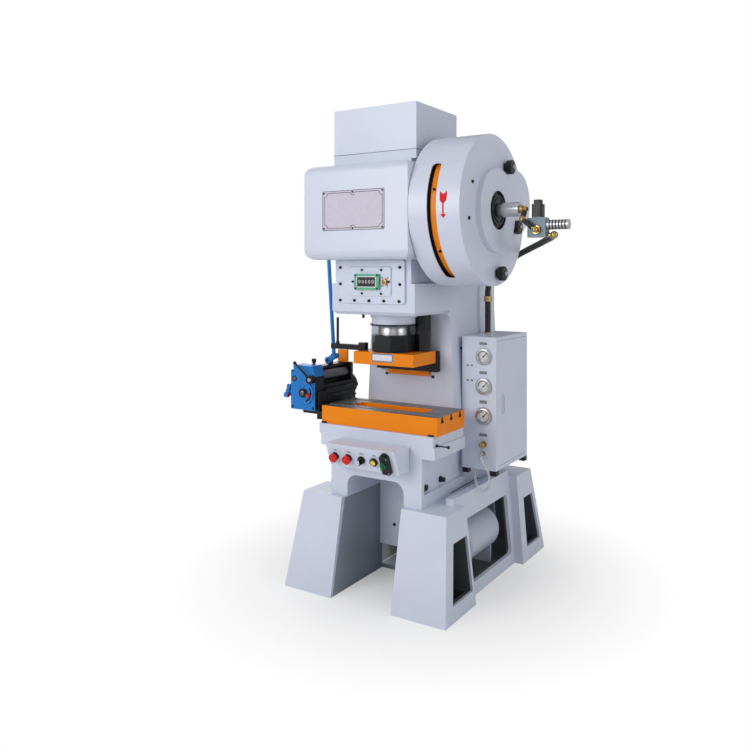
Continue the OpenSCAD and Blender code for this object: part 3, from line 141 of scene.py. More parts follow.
class Finish:
    """One material, whose nodes are added through a single method."""

    def __init__(self, name):
        self.material = bpy.data.materials.new(name)
        self.material.use_nodes = True
        self.tree = self.material.node_tree
        self.shader = self.tree.nodes["Principled BSDF"]

    def node(self, kind, settings=None, out=0, **values):
        node = self.tree.nodes.new("ShaderNode" + kind)
        for name, value in (settings or {}).items():
            setattr(node, name, value)
        for name, value in values.items():
            plug(self.tree, node.inputs[name.replace("_", " ")], value)
        return Signal(self.tree, node.outputs[out])

    def where(self):
        return self.node("TexCoord", out="Object")

    def axes(self):
        split = self.node("SeparateXYZ", Vector=self.where()).socket.node
        return [Signal(self.tree, s) for s in split.outputs]

    def noise(self, scale, detail=3.0, rough=0.55, stretch=(1, 1, 1)):
        way = self.node("Mapping", Vector=self.where(), Scale=stretch)
        return self.node("TexNoise", Vector=way, Scale=scale, Detail=detail, Roughness=rough)

    def blend(self, share, first, second):
        node = self.tree.nodes.new("ShaderNodeMix")
        node.data_type = "RGBA"
        for index, value in ((0, share), (6, first), (7, second)):
            plug(self.tree, node.inputs[index], value)
        return Signal(self.tree, node.outputs[2])

    def bump(self, height, strength, distance):
        return self.node("Bump", Height=height, Strength=strength, Distance=distance)

    def set(self, **values):
        for name, value in values.items():
            plug(self.tree, self.shader.inputs[name.replace("_", " ")], value)
        return self.material


def shade(colour, factor):
    """A colour made lighter or darker."""
    return tuple(min(1.0, c * factor) for c in colour)


BASE_SIDE_SLOPE = 0.1003
BASE_END_SLOPE = 0.229


def base_painted_shade(f):
    """Painted shade mask: one inside the base's hollow legs and side bays, where shade falls, and part dark
    along the way between the legs.
    """
    x, y, z = f.axes()
    x = x.math("ABSOLUTE")
    end_wall = y.math("ABSOLUTE") < 0.525 - z * BASE_END_SLOPE
    feet = ((y < -0.2685) + (y > 0.310)).clamped()
    leg = (x < 0.402 - z * BASE_SIDE_SLOPE) * feet * end_wall * (z < 0.400)
    bay = (x < 0.352 - z * BASE_SIDE_SLOPE) * (1 - feet) * (z < 0.372)
    hollow = (leg + bay).clamped() * (x > 0.166)
    way = ((0.1585 - x) / 0.003).clamped() * end_wall * (z < 0.412) * 0.62
    return hollow.math("MAXIMUM", way)


def paint(
    name, colour, rough=0.38, peel=0.12, cast=0.0, coat=0.15,
    low_grime=0.0, edge_wear_and_highlight=0.10, gloss=0.5, painted_shade_inside=False,
):
    """Sprayed paint: orange peel, faint mottling, edges lightened partly as rubbed wear and partly as a
    painted highlight, on castings an uneven skin, and on the base painted shade in its hollows.
    """
    f = Finish(name)
    mottle = f.noise(2.6, detail=5, rough=0.6)
    fine = f.noise(38, detail=4)
    tone = f.blend(mottle, shade(colour, 0.93), shade(colour, 1.05))
    tone = f.blend((fine - 0.42).clamped() * 0.35, tone, shade(colour, 0.90))
    rim = f.node("Attribute", {"attribute_name": "rim"}, out="Fac")
    # Edges lightened: part rubbed wear, part a painted highlight where the rounded edges would catch the
    # light.
    tone = f.blend(rim * fine * edge_wear_and_highlight * 4, tone, shade(colour, 1.28))
    if low_grime:
        height = f.axes()[2]
        low = (1 - height * 5).clamped() * f.noise(14, detail=6)
        tone = f.blend(low * low_grime, tone, shade(colour, 0.45))
    # Painted shade: inside the base's hollows and along the way between its legs the paint is made near
    # black.
    if painted_shade_inside:
        tone = f.blend(base_painted_shade(f) * 0.93, tone, (0.035, 0.045, 0.048))
    height = f.noise(420, detail=2) * 0.4
    if cast:
        height = height + f.noise(24, detail=4) * cast
    return f.set(
        Base_Color=tone,
        Roughness=(mottle * 0.16 + fine * 0.08 + (rough - 0.12)),
        Normal=f.bump(height, peel, 0.0015),
        Coat_Weight=coat,
        Coat_Roughness=0.18,
        Specular_IOR_Level=gloss,
    )


def metal(
    name, colour, rough=0.3, grain=(1, 1, 1), grain_scale=220,
    depth=0.06, stain=(0.5, 0.5, 0.5), stained=0.2,
):
    """Bare metal with tool marks drawn out along one way and a little staining."""
    f = Finish(name)
    marks = f.noise(grain_scale, detail=4, rough=0.7, stretch=grain)
    blotch = f.noise(16, detail=5)
    dull = tuple(c * s for c, s in zip(colour, stain))
    tone = f.blend((blotch - 0.45).clamped() * stained * 4, colour, dull)
    tone = f.blend(marks * 0.35, tone, shade(colour, 0.72))
    return f.set(
        Base_Color=tone,
        Metallic=1.0,
        Roughness=(marks * 0.18 + blotch * 0.1 + (rough - 0.14)),
        Normal=f.bump(marks, depth, 0.0006),
    )


def plastic(name, colour, rough=0.3, coat=0.0, gloss=0.5):
    """Moulded plastic, or printing, with a fine grain."""
    f = Finish(name)
    cloud = f.noise(60, detail=3)
    return f.set(
        Base_Color=f.blend(cloud, shade(colour, 0.9), shade(colour, 1.08)),
        Roughness=cloud * 0.12 + (rough - 0.06),
        Normal=f.bump(f.noise(900, detail=2), 0.05, 0.0005),
        Coat_Weight=coat,
        Coat_Roughness=0.1,
        Specular_IOR_Level=gloss,
    )


PALE = (0.635, 0.682, 0.805)
ORANGE = (0.90, 0.250, 0.003)
BLUE = (0.014, 0.200, 0.60)
BLACK = (0.007, 0.0085, 0.0095)


def machined_bolster():
    """Orange paint on the sides and in the opening, bare milled steel on top and in the T-slots."""
    f = Finish("bolster_paint_and_milled_top")
    x, y, z = f.axes()
    inside = (x.math("ABSOLUTE") < 0.3035) * (y > -0.4055) * (y < -0.1545)
    opening = (x.math("ABSOLUTE") < 0.1915) * (y > -0.3265) * (y < -0.2335)
    slots = inside * (z > 0.7795) * (1 - opening)
    facing = f.node("SeparateXYZ", Vector=f.node("NewGeometry", out="Normal"), out="Z")
    up = (facing > 0.9).math("MAXIMUM", slots)
    mottle, fine = f.noise(2.6, detail=5), f.noise(38, detail=4)
    sprayed = f.blend(mottle, shade(ORANGE, 0.94), shade(ORANGE, 1.06))
    milled = f.noise(70, detail=3, rough=0.7, stretch=(0.06, 1, 1))
    stains = f.noise(9, detail=5)
    steel = f.blend(milled, (0.17, 0.175, 0.18), (0.33, 0.335, 0.34))
    steel = f.blend((stains - 0.5).clamped() * 1.6, steel, (0.14, 0.12, 0.10))
    height = f.blend(up, f.noise(420, detail=2), milled)
    return f.set(
        Base_Color=f.blend(up, sprayed, steel),
        Metallic=up * 0.85,
        Roughness=(1 - up) * 0.32 + up * (milled * 0.2 + 0.32) + fine * 0.06,
        Normal=f.bump(height, 0.12, 0.001),
        Specular_IOR_Level=0.2,
    )


def ringed_alloy():
    """Turned aluminium with dark grooves round it, along X."""
    f = Finish("ringed_aluminium")
    along = f.axes()[0]
    groove = ((along * 480).math("SINE") > 0.25) * (along < 0.822) * (along > 0.745)
    marks = f.noise(300, detail=3, stretch=(4, 1, 1))
    bright = f.blend(marks, (0.50, 0.51, 0.53), (0.64, 0.65, 0.67))
    return f.set(
        Base_Color=f.blend(groove, bright, (0.16, 0.165, 0.17)),
        Metallic=1.0,
        Roughness=marks * 0.12 + 0.26,
        Normal=f.bump(1 - groove, 0.5, 0.002),
    )


def clear(name, tint, rough=0.05, ior=1.45, through=1.0):
    """Clear glass or tube with a faint haze."""
    f = Finish(name)
    haze = f.noise(45, detail=3)
    return f.set(
        Base_Color=f.blend(haze, tint, shade(tint, 0.94)),
        Roughness=haze * 0.06 + rough,
        Transmission_Weight=through,
        IOR=ior,
    )


def rubber(name, ribs=0.0):
    """Black rubber, scuffed grey in places, with a woven skin."""
    f = Finish(name)
    scuff = f.noise(70, detail=5)
    tone = f.blend((scuff - 0.5).clamped() * 2, (0.012, 0.012, 0.013), (0.05, 0.05, 0.052))
    weave = f.node("TexVoronoi", Vector=f.where(), Scale=420.0)
    return f.set(
        Base_Color=tone,
        Roughness=scuff * 0.2 + 0.38,
        Normal=f.bump(weave, 0.25 + ribs, 0.0008),
    )


CAST_SKIN = {"rough": 0.42, "cast": 1.6, "peel": 0.22, "low_grime": 0.25}

finishes = {
    "casting": paint("casting_paint", PALE, **CAST_SKIN),
    "sheet": paint("sheet_paint", shade(PALE, 1.02), rough=0.36, peel=0.10),
    "tank_paint": paint("tank_paint", shade(PALE, 0.86), rough=0.4),
    "orange": paint("orange_paint", ORANGE, rough=0.36, peel=0.12, coat=0.05, edge_wear_and_highlight=0.05, gloss=0.2),
    "blue": paint("blue_paint", BLUE, rough=0.38, peel=0.2, cast=0.5, coat=0.05, gloss=0.25),
    "motor_paint": paint("motor_paint", (0.10, 0.135, 0.17), rough=0.45, cast=0.8),
    "black_metal": paint("black_oxide", BLACK, rough=0.36, peel=0.2, coat=0.05, edge_wear_and_highlight=0.6, gloss=0.3),
    "valve_alloy": paint("valve_casting", (0.16, 0.235, 0.275), rough=0.42, cast=0.6),
    "black_plastic": plastic("black_plastic", (0.010, 0.010, 0.011), rough=0.34, gloss=0.35),
    # The base's paint also carries painted shade in its hollows.
    "base_casting": paint("base_paint_with_painted_shade", PALE, **CAST_SKIN, painted_shade_inside=True),
    "satin": metal(
        "satin_steel", (0.62, 0.63, 0.65), rough=0.3, grain=(0.2, 1, 1), grain_scale=500,
        depth=0.02, stained=0.03,
    ),
    "ringed": ringed_alloy(),
    "steel": metal("ground_steel", (0.60, 0.61, 0.63), rough=0.26),
    "chrome": metal("hard_chrome", (0.50, 0.51, 0.53), rough=0.30, depth=0.02, stained=0.05),
    "dark_steel": metal("oiled_steel", (0.16, 0.16, 0.165), rough=0.34, stain=(0.7, 0.6, 0.5)),
    "bronze": metal("brass", (0.56, 0.40, 0.16), rough=0.28, stain=(0.6, 0.5, 0.35), stained=0.4),
    "rubber_boot": plastic("boot_rubber", (0.006, 0.0065, 0.007), rough=0.22, coat=0.3, gloss=0.4),
    "belt_rubber": rubber("belt_rubber"),
    "hose_rubber": rubber("hose_rubber", ribs=0.15),
    "clear_tube": clear("clear_tube", (0.90, 0.93, 0.93), through=0.72),
    "red_plastic": plastic("red_plastic", (0.66, 0.010, 0.010), rough=0.24, coat=0.15, gloss=0.3),
    "yellow_plastic": plastic("yellow_plastic", (0.90, 0.62, 0.06), rough=0.2, coat=0.4),
    "green_plastic": plastic("green_plastic", (0.010, 0.16, 0.055), rough=0.26, coat=0.2),
    "counter_green": plastic("counter_green", (0.10, 0.42, 0.27), rough=0.32, coat=0.2),
    "bolster": machined_bolster(),
    "white_plastic": plastic("white_plastic", (0.78, 0.78, 0.77), rough=0.35),
    "plate": plastic("bare_plate", (0.60, 0.565, 0.67), rough=0.4, gloss=0.3),
    "label": plastic("bare_label", (0.72, 0.74, 0.80), rough=0.3),
    "grey_label": plastic("grey_label", (0.20, 0.20, 0.23), rough=0.4),
    "ink": plastic("black_ink", (0.02, 0.02, 0.025), rough=0.5),
    "red_ink": plastic("red_ink", (0.74, 0.010, 0.010), rough=0.5, gloss=0.15),
    "glass": clear("gauge_glass", (0.98, 0.99, 0.99), rough=0.02, ior=1.2),
    "amber": plastic("oil_amber", (0.30, 0.14, 0.02), rough=0.15, coat=0.6),
}

NODE_FINISH = {
    "base": "base_casting",
    "bolster": "bolster",
    "rotary_union": "satin",
    "silencer": "ringed",
    "plunger": "chrome",
    "guide_bush": "casting",
    "gauge_cases": "chrome",
    "connecting_rod": "dark_steel",
    "motor_pulley": "dark_steel",
    "feed_roll_low": "dark_steel",
    "feed_roll_top": "dark_steel",
}


def dress_nodes():
    """Gives every solid of the frame its finish, by the record's slot unless the table says otherwise."""
    for entry in frame["record"]["subparts"]:
        name = entry["node"]
        mesh = nodes[name].data
        mesh.materials.clear()
        mesh.materials.append(finishes[NODE_FINISH.get(name, entry["material_slot"])])


# Mesh helpers


def body_of_node(name):
    return nodes[name]["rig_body"]


def link_mesh(name, bm, smooth):
    """An object of the geometry, smooth but for edges sharper than an angle."""
    mesh = bpy.data.meshes.new(name)
    bm.to_mesh(mesh)
    bm.free()
    mesh.shade_smooth()
    mesh.set_sharp_from_angle(angle=math.radians(smooth))
    return linked(name, mesh)


def keep_piece(name, bm, finish, body, smooth):
    """Turns geometry in metres into a piece that rides on a body."""
    piece = link_mesh(name, bm, smooth)
    piece.data.materials.append(finishes[finish])
    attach(piece, body)
    return piece


@contextmanager
def new_piece(name, finish, body="press", smooth=35, replaces=None):
    """Hands out an empty mesh in millimetres, and makes a piece of what was built in it."""
    bm = bmesh.new()
    yield bm
    bmesh.ops.transform(bm, matrix=Matrix.Scale(MM, 4), verts=bm.verts)
    piece = keep_piece(name, bm, finish, body, smooth)
    if replaces:
        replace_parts(piece, replaces)


# Width of the rounded edges by node, and their steps where they aren't two
SOFT_EDGES = {
    "base": 12, "frame": 7, "bolster": 2, "crown_cover": 2.5, "top_cover": 3, "head_plate": 2.5,
    "flywheel_guard": 2, "flywheel": 2, "hub_cap": 1.5, "lock_nut": 2.5, "slide_plate": 2.5,
    "guide_bar": 1.5, "rear_guide": 1.5, "release_arm": 2, "cabinet_body": 2, "cabinet_door": 1.5,
    "panel_box": 2, "feeder_gearbox": 2.5, "feeder_housing": 2, "feeder_upright": 1.5,
    "feeder_handwheel": 2, "air_valve": 2, "guard_knobs": 2.5, "stop_button_1": 2.5,
    "stop_button_2": 2.5,
}
EDGE_STEPS = {"base": 4, "frame": 3, "stop_button_1": 3, "stop_button_2": 3}


def soften(name, width, steps):
    """A copy of a solid with its sharp edges rounded; the rounded faces carry the mark that the lightened
    edges follow, part wear and part painted highlight.

    A moving solid keeps its inner corners sharp, so that no fillet runs into what it slides on.
    """
    still = body_of_node(name) == "press"
    bm = bmesh.new()
    bm.from_mesh(nodes[name].data)
    bmesh.ops.remove_doubles(bm, verts=bm.verts, dist=1e-5)
    bmesh.ops.dissolve_limit(bm, angle_limit=math.radians(0.4), verts=bm.verts, edges=bm.edges)
    sharp = [
        e for e in bm.edges
        if len(e.link_faces) == 2 and e.calc_face_angle() > math.radians(28) and (still or e.is_convex)
    ]
    rim = bm.faces.layers.float.new("rim")
    made = bmesh.ops.bevel(
        bm, geom=sharp, offset=width * MM, offset_type="OFFSET", segments=steps, profile=0.5,
        affect="EDGES", clamp_overlap=True,
    )
    for face in made["faces"]:
        face[rim] = 1.0
    bmesh.ops.triangulate(bm, faces=[f for f in bm.faces if len(f.verts) > 4])
    finish = nodes[name].data.materials[0].name
    key = next(k for k, m in finishes.items() if m.name == finish)
    piece = keep_piece(name + "_soft", bm, key, body_of_node(name), smooth=40)
    weighted = piece.modifiers.new("flat_faces", "WEIGHTED_NORMAL")
    weighted.keep_sharp = True
    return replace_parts(piece, name)


# Cords: the hose's heights are from the crank's axis, the tube's places from the cabinet's corner

CRANK_Y, CRANK_Z = -267, 1684
CABINET_CORNER = (240, -51, 521)
AIR_HOSE_R = 14
AIR_HOSE = [
    (750, -234, -110), (732, -195, -111), (711, -153, -114), (685, -114, -118), (657, -77, -123),
    (627, -42, -130), (595, -9, -138), (561, 21, -147), (525, 49, -158), (488, 74, -170), (449, 97, -184),
    (409, 117, -200), (369, 135, -219), (330, 150, -242), (298, 160, -272), (277, 165, -310),
    (268, 167, -354), (268, 167, -390), (268, 167, -426), (268, 167, -462), (268, 167, -552),
]
DRAIN_TUBE_R = 5
DRAIN_TUBE = [
    (110, -16.3, 75), (110, -32, 75), (117, -46, 66), (129, -53, 51), (142, -55, 34), (154, -55, 13),
    (161, -54, -10), (162, -52, -33), (156, -49, -55), (143, -44, -73), (124, -37, -84), (105, -29, -81),
    (87, -19, -68), (73, -7, -54), (64, 6, -38), (60, 18, -24), (60, 26, -13), (60, 26, -0.3),
]


def smooth_route(points):
    """The route as a closer row of points on a curve through all of them."""
    per_span = 4
    made = []
    for i in range(len(points) - 1):
        p0, p1, p2, p3 = (points[max(0, min(len(points) - 1, i + k))] for k in (-1, 0, 1, 2))
        for step in range(per_span):
            t = step / per_span
            made.append(
                0.5 * ((2 * p1) + (p2 - p0) * t + (2 * p0 - 5 * p1 + 4 * p2 - p3) * t * t
                       + (3 * p1 - p0 - 3 * p2 + p3) * t ** 3)
            )
    return made + [points[-1]]


def hose(name, route, radius, finish, node, sides):
    """A round hose as one poly curve along its route."""
    points = smooth_route(route)
    curve = bpy.data.curves.new(name, "CURVE")
    curve.dimensions = "3D"
    curve.bevel_depth = radius * MM
    curve.bevel_resolution = sides
    curve.use_fill_caps = True
    spline = curve.splines.new("POLY")
    spline.points.add(len(points) - 1)
    for point, place in zip(spline.points, points):
        point.co = (*(place * MM), 1)
    spline.use_smooth = True
    curve.materials.append(finishes[finish])
    piece = linked(name, curve)
    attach(piece, "press")
    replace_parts(piece, node)
    length = sum((b - a).length for a, b in zip(points, points[1:])) * MM
    return piece, points[0] * MM, length


def lay_cords():
    air = [Vector((x, y, CRANK_Z + z)) for x, y, z in AIR_HOSE]
    piece, start, length = hose("air_hose_run", air, AIR_HOSE_R, "hose_rubber", "air_hose", 6)
    drain = [Vector(CABINET_CORNER) + Vector(p) for p in DRAIN_TUBE]
    piece, start, length = hose("drain_tube_run", drain, DRAIN_TUBE_R, "clear_tube", "drain_tube", 5)


# Shapes

# Each side is its way right and its way up; its normal looks outwards
FRONT = (Vector((1, 0, 0)), Vector((0, 0, 1)))
RIGHT = (Vector((0, 1, 0)), Vector((0, 0, 1)))
TOP = (Vector((1, 0, 0)), Vector((0, 1, 0)))
AHEAD, BEHIND = (0, -1, 0), (0, 1, 0)
RIGHTWARD, LEFTWARD = (1, 0, 0), (-1, 0, 0)
UPWARD, DOWNWARD = (0, 0, 1), (0, 0, -1)
PANEL_TILT = math.atan2(41, 105)
PANEL = (Vector((1, 0, 0)), Vector((0, -math.sin(PANEL_TILT), math.cos(PANEL_TILT))))


def normal_of(side):
    return side[0].cross(side[1])


def skin(bm, low, high):
    """Faces between two rounds of as many points."""
    for k in range(len(low)):
        j = (k + 1) % len(low)
        bm.faces.new((low[k], low[j], high[j], high[k]))


def round_of(bm, at, first, second, radius, steps):
    """A round of points about a place, in the plane of two ways."""
    turns = [2 * math.pi * k / steps for k in range(steps)]
    return [bm.verts.new(at + (first * math.cos(a) + second * math.sin(a)) * radius) for a in turns]


def prism(bm, outline, origin, side, depth):
    """A flat outline in a side's two ways, raised outwards from its origin by the depth."""
    u, v = side
    n = normal_of(side)
    low = [bm.verts.new(Vector(origin) + u * a + v * b) for a, b in outline]
    high = [bm.verts.new(p.co + n * depth) for p in low]
    bm.faces.new(high)
    bm.faces.new(low[::-1])
    skin(bm, low, high)


def rounded(width, height, radius, steps=6):
    """Outline of a rectangle with round corners, about its middle."""
    made = []
    for cx, cy, start in ((1, 1, 0), (-1, 1, 90), (-1, -1, 180), (1, -1, 270)):
        for k in range(steps + 1):
            a = math.radians(start + 90 * k / steps)
            x, y = cx * (width / 2 - radius), cy * (height / 2 - radius)
            made.append((x + radius * math.cos(a), y + radius * math.sin(a)))
    return made


def spoke(degrees):
    """The way at an angle on a dial that looks ahead."""
    a = math.radians(degrees)
    return Vector((math.cos(a), 0, math.sin(a)))


def across(way):
    way = Vector(way).normalized()
    first = way.orthogonal().normalized()
    return way, first, way.cross(first)


def turned(bm, profile, at, way, steps=40):
    """A turned shape: (distance along the way, radius) pairs from its foot to its top."""
    way, first, second = across(way)
    rings = []
    for along, radius in profile:
        centre = Vector(at) + way * along
        if radius > 0:
            rings.append(round_of(bm, centre, first, second, radius, steps))
        else:
            rings.append([bm.verts.new(centre)])
    for low, high in zip(rings, rings[1:]):
        if len(low) == len(high):
            skin(bm, low, high)
            continue
        for k in range(steps):
            j = (k + 1) % steps
            if len(low) == 1:
                bm.faces.new((high[k], high[j], low[0]))
            else:
                bm.faces.new((low[k], low[j], high[0]))
    if len(rings[0]) > 1:
        bm.faces.new(rings[0][::-1])
    if len(rings[-1]) > 1:
        bm.faces.new(rings[-1])


def ring_profile(inner, outer, height, lip=0.6):
    """Section of a ring with both upper edges broken."""
    low, top = height - lip, height
    return [(0, outer), (low, outer), (top, outer - lip), (top, inner + lip), (low, inner), (0, inner)]


def band(inner, outer, height):
    """Section of a plain ring."""
    return [(0, inner), (0, outer), (height, outer), (height, inner)]


def turned_ring(bm, profile, at, way, steps=48):
    """A ring: its section is closed round on itself, so it has no end faces."""
    way, first, second = across(way)
    rings = [round_of(bm, Vector(at) + way * z, first, second, radius, steps) for z, radius in profile]
    for low, high in zip(rings, rings[1:] + rings[:1]):
        skin(bm, low, high)
    bmesh.ops.recalc_face_normals(bm, faces=bm.faces)


def ball(bm, at, radius):
    rows = 14
    turns = [math.pi * k / rows for k in range(1, rows)]
    profile = [(-radius * math.cos(a), radius * math.sin(a)) for a in turns]
    turned(bm, [(-radius, 0), *profile, (radius, 0)], at, UPWARD, 24)


SHAPES = []


def keep_shape(name, bm):
    """A shape that is only there to be repeated, and is taken away at the end."""
    SHAPES.append(link_mesh(name, bm, 30))
    return SHAPES[-1]


def tick_mark(width, length):
    """A thin flat mark that points along Z when it is set on a dial."""
    bm = bmesh.new()
    bmesh.ops.create_cube(bm, size=1)
    bmesh.ops.scale(bm, vec=(width, width, length), verts=bm.verts)
    return keep_shape("tick", bm)


def screw_head(sides, socket):
    """One screw head of unit radius: round with a hexagon socket, or six-sided on a washer."""
    bm = bmesh.new()
    steps = 24

    def ring(radius, height, corners=0):
        made = []
        for k in range(steps):
            a = 2 * math.pi * k / steps
            r = radius
            if corners:
                half = math.pi / corners
                r = radius * math.cos(half) / math.cos((a % (2 * half)) - half)
            made.append(bm.verts.new((r * math.cos(a), r * math.sin(a), height)))
        return made

    if sides:
        rows = [ring(1.25, 0), ring(1.25, 0.12), ring(1, 0.12, 6), ring(1, 0.68, 6), ring(0.84, 0.78)]
    else:
        rows = [ring(1, 0), ring(1, 0.7), ring(0.86, 0.82)]
    if socket:
        rows += [ring(socket, 0.82, 6), ring(socket * 0.96, 0.3, 6)]
    for low, high in zip(rows, rows[1:]):
        skin(bm, low, high)
    bm.faces.new(rows[0][::-1])
    bm.faces.new(rows[-1])
    return keep_shape("screw_head", bm)


def repeat_tree():
    """Geometry Nodes that set one shape on every point, turned to its facing and scaled to its size."""
    tree = bpy.data.node_groups.new("set_on_points", "GeometryNodeTree")
    kinds = {"Points": "Geometry", "Shape": "Object", "Finish": "Material", "Scale": "Float"}
    for name, kind in kinds.items():
        tree.interface.new_socket(name, in_out="INPUT", socket_type="NodeSocket" + kind)
    tree.interface.new_socket("Geometry", in_out="OUTPUT", socket_type="NodeSocketGeometry")

    def add(kind, **settings):
        node = tree.nodes.new(kind)
        for key, value in settings.items():
            setattr(node, key, value)
        return node

    start, end = add("NodeGroupInput"), add("NodeGroupOutput")
    shape = add("GeometryNodeObjectInfo")
    facing = add("GeometryNodeInputNamedAttribute", data_type="FLOAT_VECTOR")
    facing.inputs["Name"].default_value = "facing"
    size = add("GeometryNodeInputNamedAttribute", data_type="FLOAT")
    size.inputs["Name"].default_value = "size"
    turn = add("FunctionNodeAlignRotationToVector", axis="Z")
    scaled = add("ShaderNodeMath", operation="MULTIPLY")
    spread = add("GeometryNodeInstanceOnPoints")
    real = add("GeometryNodeRealizeInstances")
    dress = add("GeometryNodeSetMaterial")
    for source, out, target, into in (
        (start, "Shape", shape, "Object"),
        (facing, "Attribute", turn, "Vector"),
        (size, "Attribute", scaled, 0),
        (start, "Scale", scaled, 1),
        (start, "Points", spread, "Points"),
        (shape, "Geometry", spread, "Instance"),
        (turn, "Rotation", spread, "Rotation"),
        (scaled, 0, spread, "Scale"),
        (spread, "Instances", real, "Geometry"),
        (real, "Geometry", dress, "Geometry"),
        (start, "Finish", dress, "Material"),
        (dress, "Geometry", end, "Geometry"),
    ):
        tree.links.new(source.outputs[out], target.inputs[into])
    return tree


SET_ON_POINTS = repeat_tree()


def evaluated(thing):
    """An object's text or modifiers as a plain mesh."""
    bpy.context.view_layer.update()
    return bpy.data.meshes.new_from_object(thing.evaluated_get(bpy.context.evaluated_depsgraph_get()))


def repeat(name, shape, places, finish, body="press"):
    """Sets copies of a shape at (point, facing, size) places, all in millimetres, as one plain mesh."""
    mesh = bpy.data.meshes.new(name)
    mesh.from_pydata([Vector(p) * MM for p, _, _ in places], [], [])
    mesh.attributes.new("facing", "FLOAT_VECTOR", "POINT")
    mesh.attributes.new("size", "FLOAT", "POINT")
    for i, (_, way, size) in enumerate(places):
        mesh.attributes["facing"].data[i].vector = Vector(way).normalized()
        mesh.attributes["size"].data[i].value = size
    holder = linked(name, mesh)
    modifier = holder.modifiers.new("set_on_points", "NODES")
    modifier.node_group = SET_ON_POINTS
    sockets = {s.name: s.identifier for s in SET_ON_POINTS.interface.items_tree if s.in_out == "INPUT"}
    modifier[sockets["Shape"]] = shape
    modifier[sockets["Finish"]] = finishes[finish]
    modifier[sockets["Scale"]] = MM
    holder.update_tag()
    made = evaluated(holder)
    holder.modifiers.remove(modifier)
    holder.data = made
    made.name = name
    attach(holder, body)


def lettering(name, words, height, at, finish):
    """Flat figures, as on a dial, made a mesh that looks ahead."""
    curve = bpy.data.curves.new(name, "FONT")
    curve.body = words
    curve.size = height
    curve.align_x, curve.align_y = "CENTER", "CENTER"
    curve.resolution_u = 3
    holder = linked(name, curve)
    mesh = evaluated(holder)
    bpy.data.objects.remove(holder)
    turn = Matrix((*FRONT, normal_of(FRONT))).transposed().to_4x4()
    with new_piece(name, finish) as bm:
        bm.from_mesh(mesh)
        bmesh.ops.transform(bm, matrix=Matrix.Translation(Vector(at)) @ turn, verts=bm.verts)


SURFACES = {}


def seat(node, start, way):
    """The place where a line from the start meets a solid, in millimetres."""
    if node not in SURFACES:
        mesh = nodes[node].data
        places = [v.co.copy() for v in mesh.vertices]
        SURFACES[node] = BVHTree.FromPolygons(places, [p.vertices[:] for p in mesh.polygons])
    return SURFACES[node].ray_cast(Vector(start) * MM, Vector(way))[0] / MM


def ribbon(bm, path, width, origin, side, depth):
    """A closed line of even width laid on a side."""
    u, v = side
    n = normal_of(side)
    rows = []
    for i in range(len(path)):
        before, here, after = (Vector(path[(i + k) % len(path)]) for k in (-1, 0, 1))
        way = ((here - before).normalized() + (after - here).normalized()).normalized()
        out = Vector((way.y, -way.x))
        leg = here - before
        reach = width / 2 / max(0.5, out.dot(Vector((leg.y, -leg.x)).normalized()))
        row = []
        for sign, lift in ((1, 0), (1, depth), (-1, depth), (-1, 0)):
            p = here + out * reach * sign
            row.append(bm.verts.new(Vector(origin) + u * p.x + v * p.y + n * lift))
        rows.append(row)
    for row, next_row in zip(rows, rows[1:] + rows[:1]):
        skin(bm, next_row, row)
    bmesh.ops.recalc_face_normals(bm, faces=bm.faces)


def sweep(bm, points, radius, sides=20):
    """A round bar along straight legs, with closed ends."""
    points = [Vector(p) for p in points]
    rings = []
    first = None
    for i, place in enumerate(points):
        way = (points[min(i + 1, len(points) - 1)] - points[max(i - 1, 0)]).normalized()
        if first is None:
            first = way.orthogonal().normalized()
        first = (first - way * first.dot(way)).normalized()
        rings.append(round_of(bm, place, first, way.cross(first), radius, sides))
    for low, high in zip(rings, rings[1:]):
        skin(bm, low, high)
    bm.faces.new(rings[0][::-1])
    bm.faces.new(rings[-1])


def notched_border(width, height, notch):
    """A plate's border line: hollow corners, and a small hollow at the middle screw of each long side."""
    path, step = [], 6

    def hollow(cx, cy, radius, start, end):
        for k in range(step + 1):
            a = math.radians(start + (end - start) * k / step)
            path.append((cx + radius * math.cos(a), cy + radius * math.sin(a)))

    w, h = width / 2, height / 2
    hollow(w, h, notch, 270, 180)
    hollow(0, h, notch * 0.7, 360, 180)
    hollow(-w, h, notch, 360, 270)
    hollow(-w, -h, notch, 90, 0)
    hollow(0, -h, notch * 0.7, 180, 0)
    hollow(w, -h, notch, 180, 90)
    return path


# Fine detail: faces and middles that several pieces share

NAME_X, NAME_FACE_Y, NAME_Z = -5, -584.4, 1686
COUNTER_Y, COUNTER_Z = -477, 1381.5
PLATE_Y = -463
SIGHT_X = 79
GUARD_R = 320
ARROW_X = 428.5
SLOT_END_R = 20
GAUGE_X, GAUGE_FACE_Y = 350, -53.5
GAUGE_ZS = (1038, 902, 766)
DIAL_X, DIAL_Z = -392, 862.4
SWITCH_X = 121
FAR_RIGHT = 900


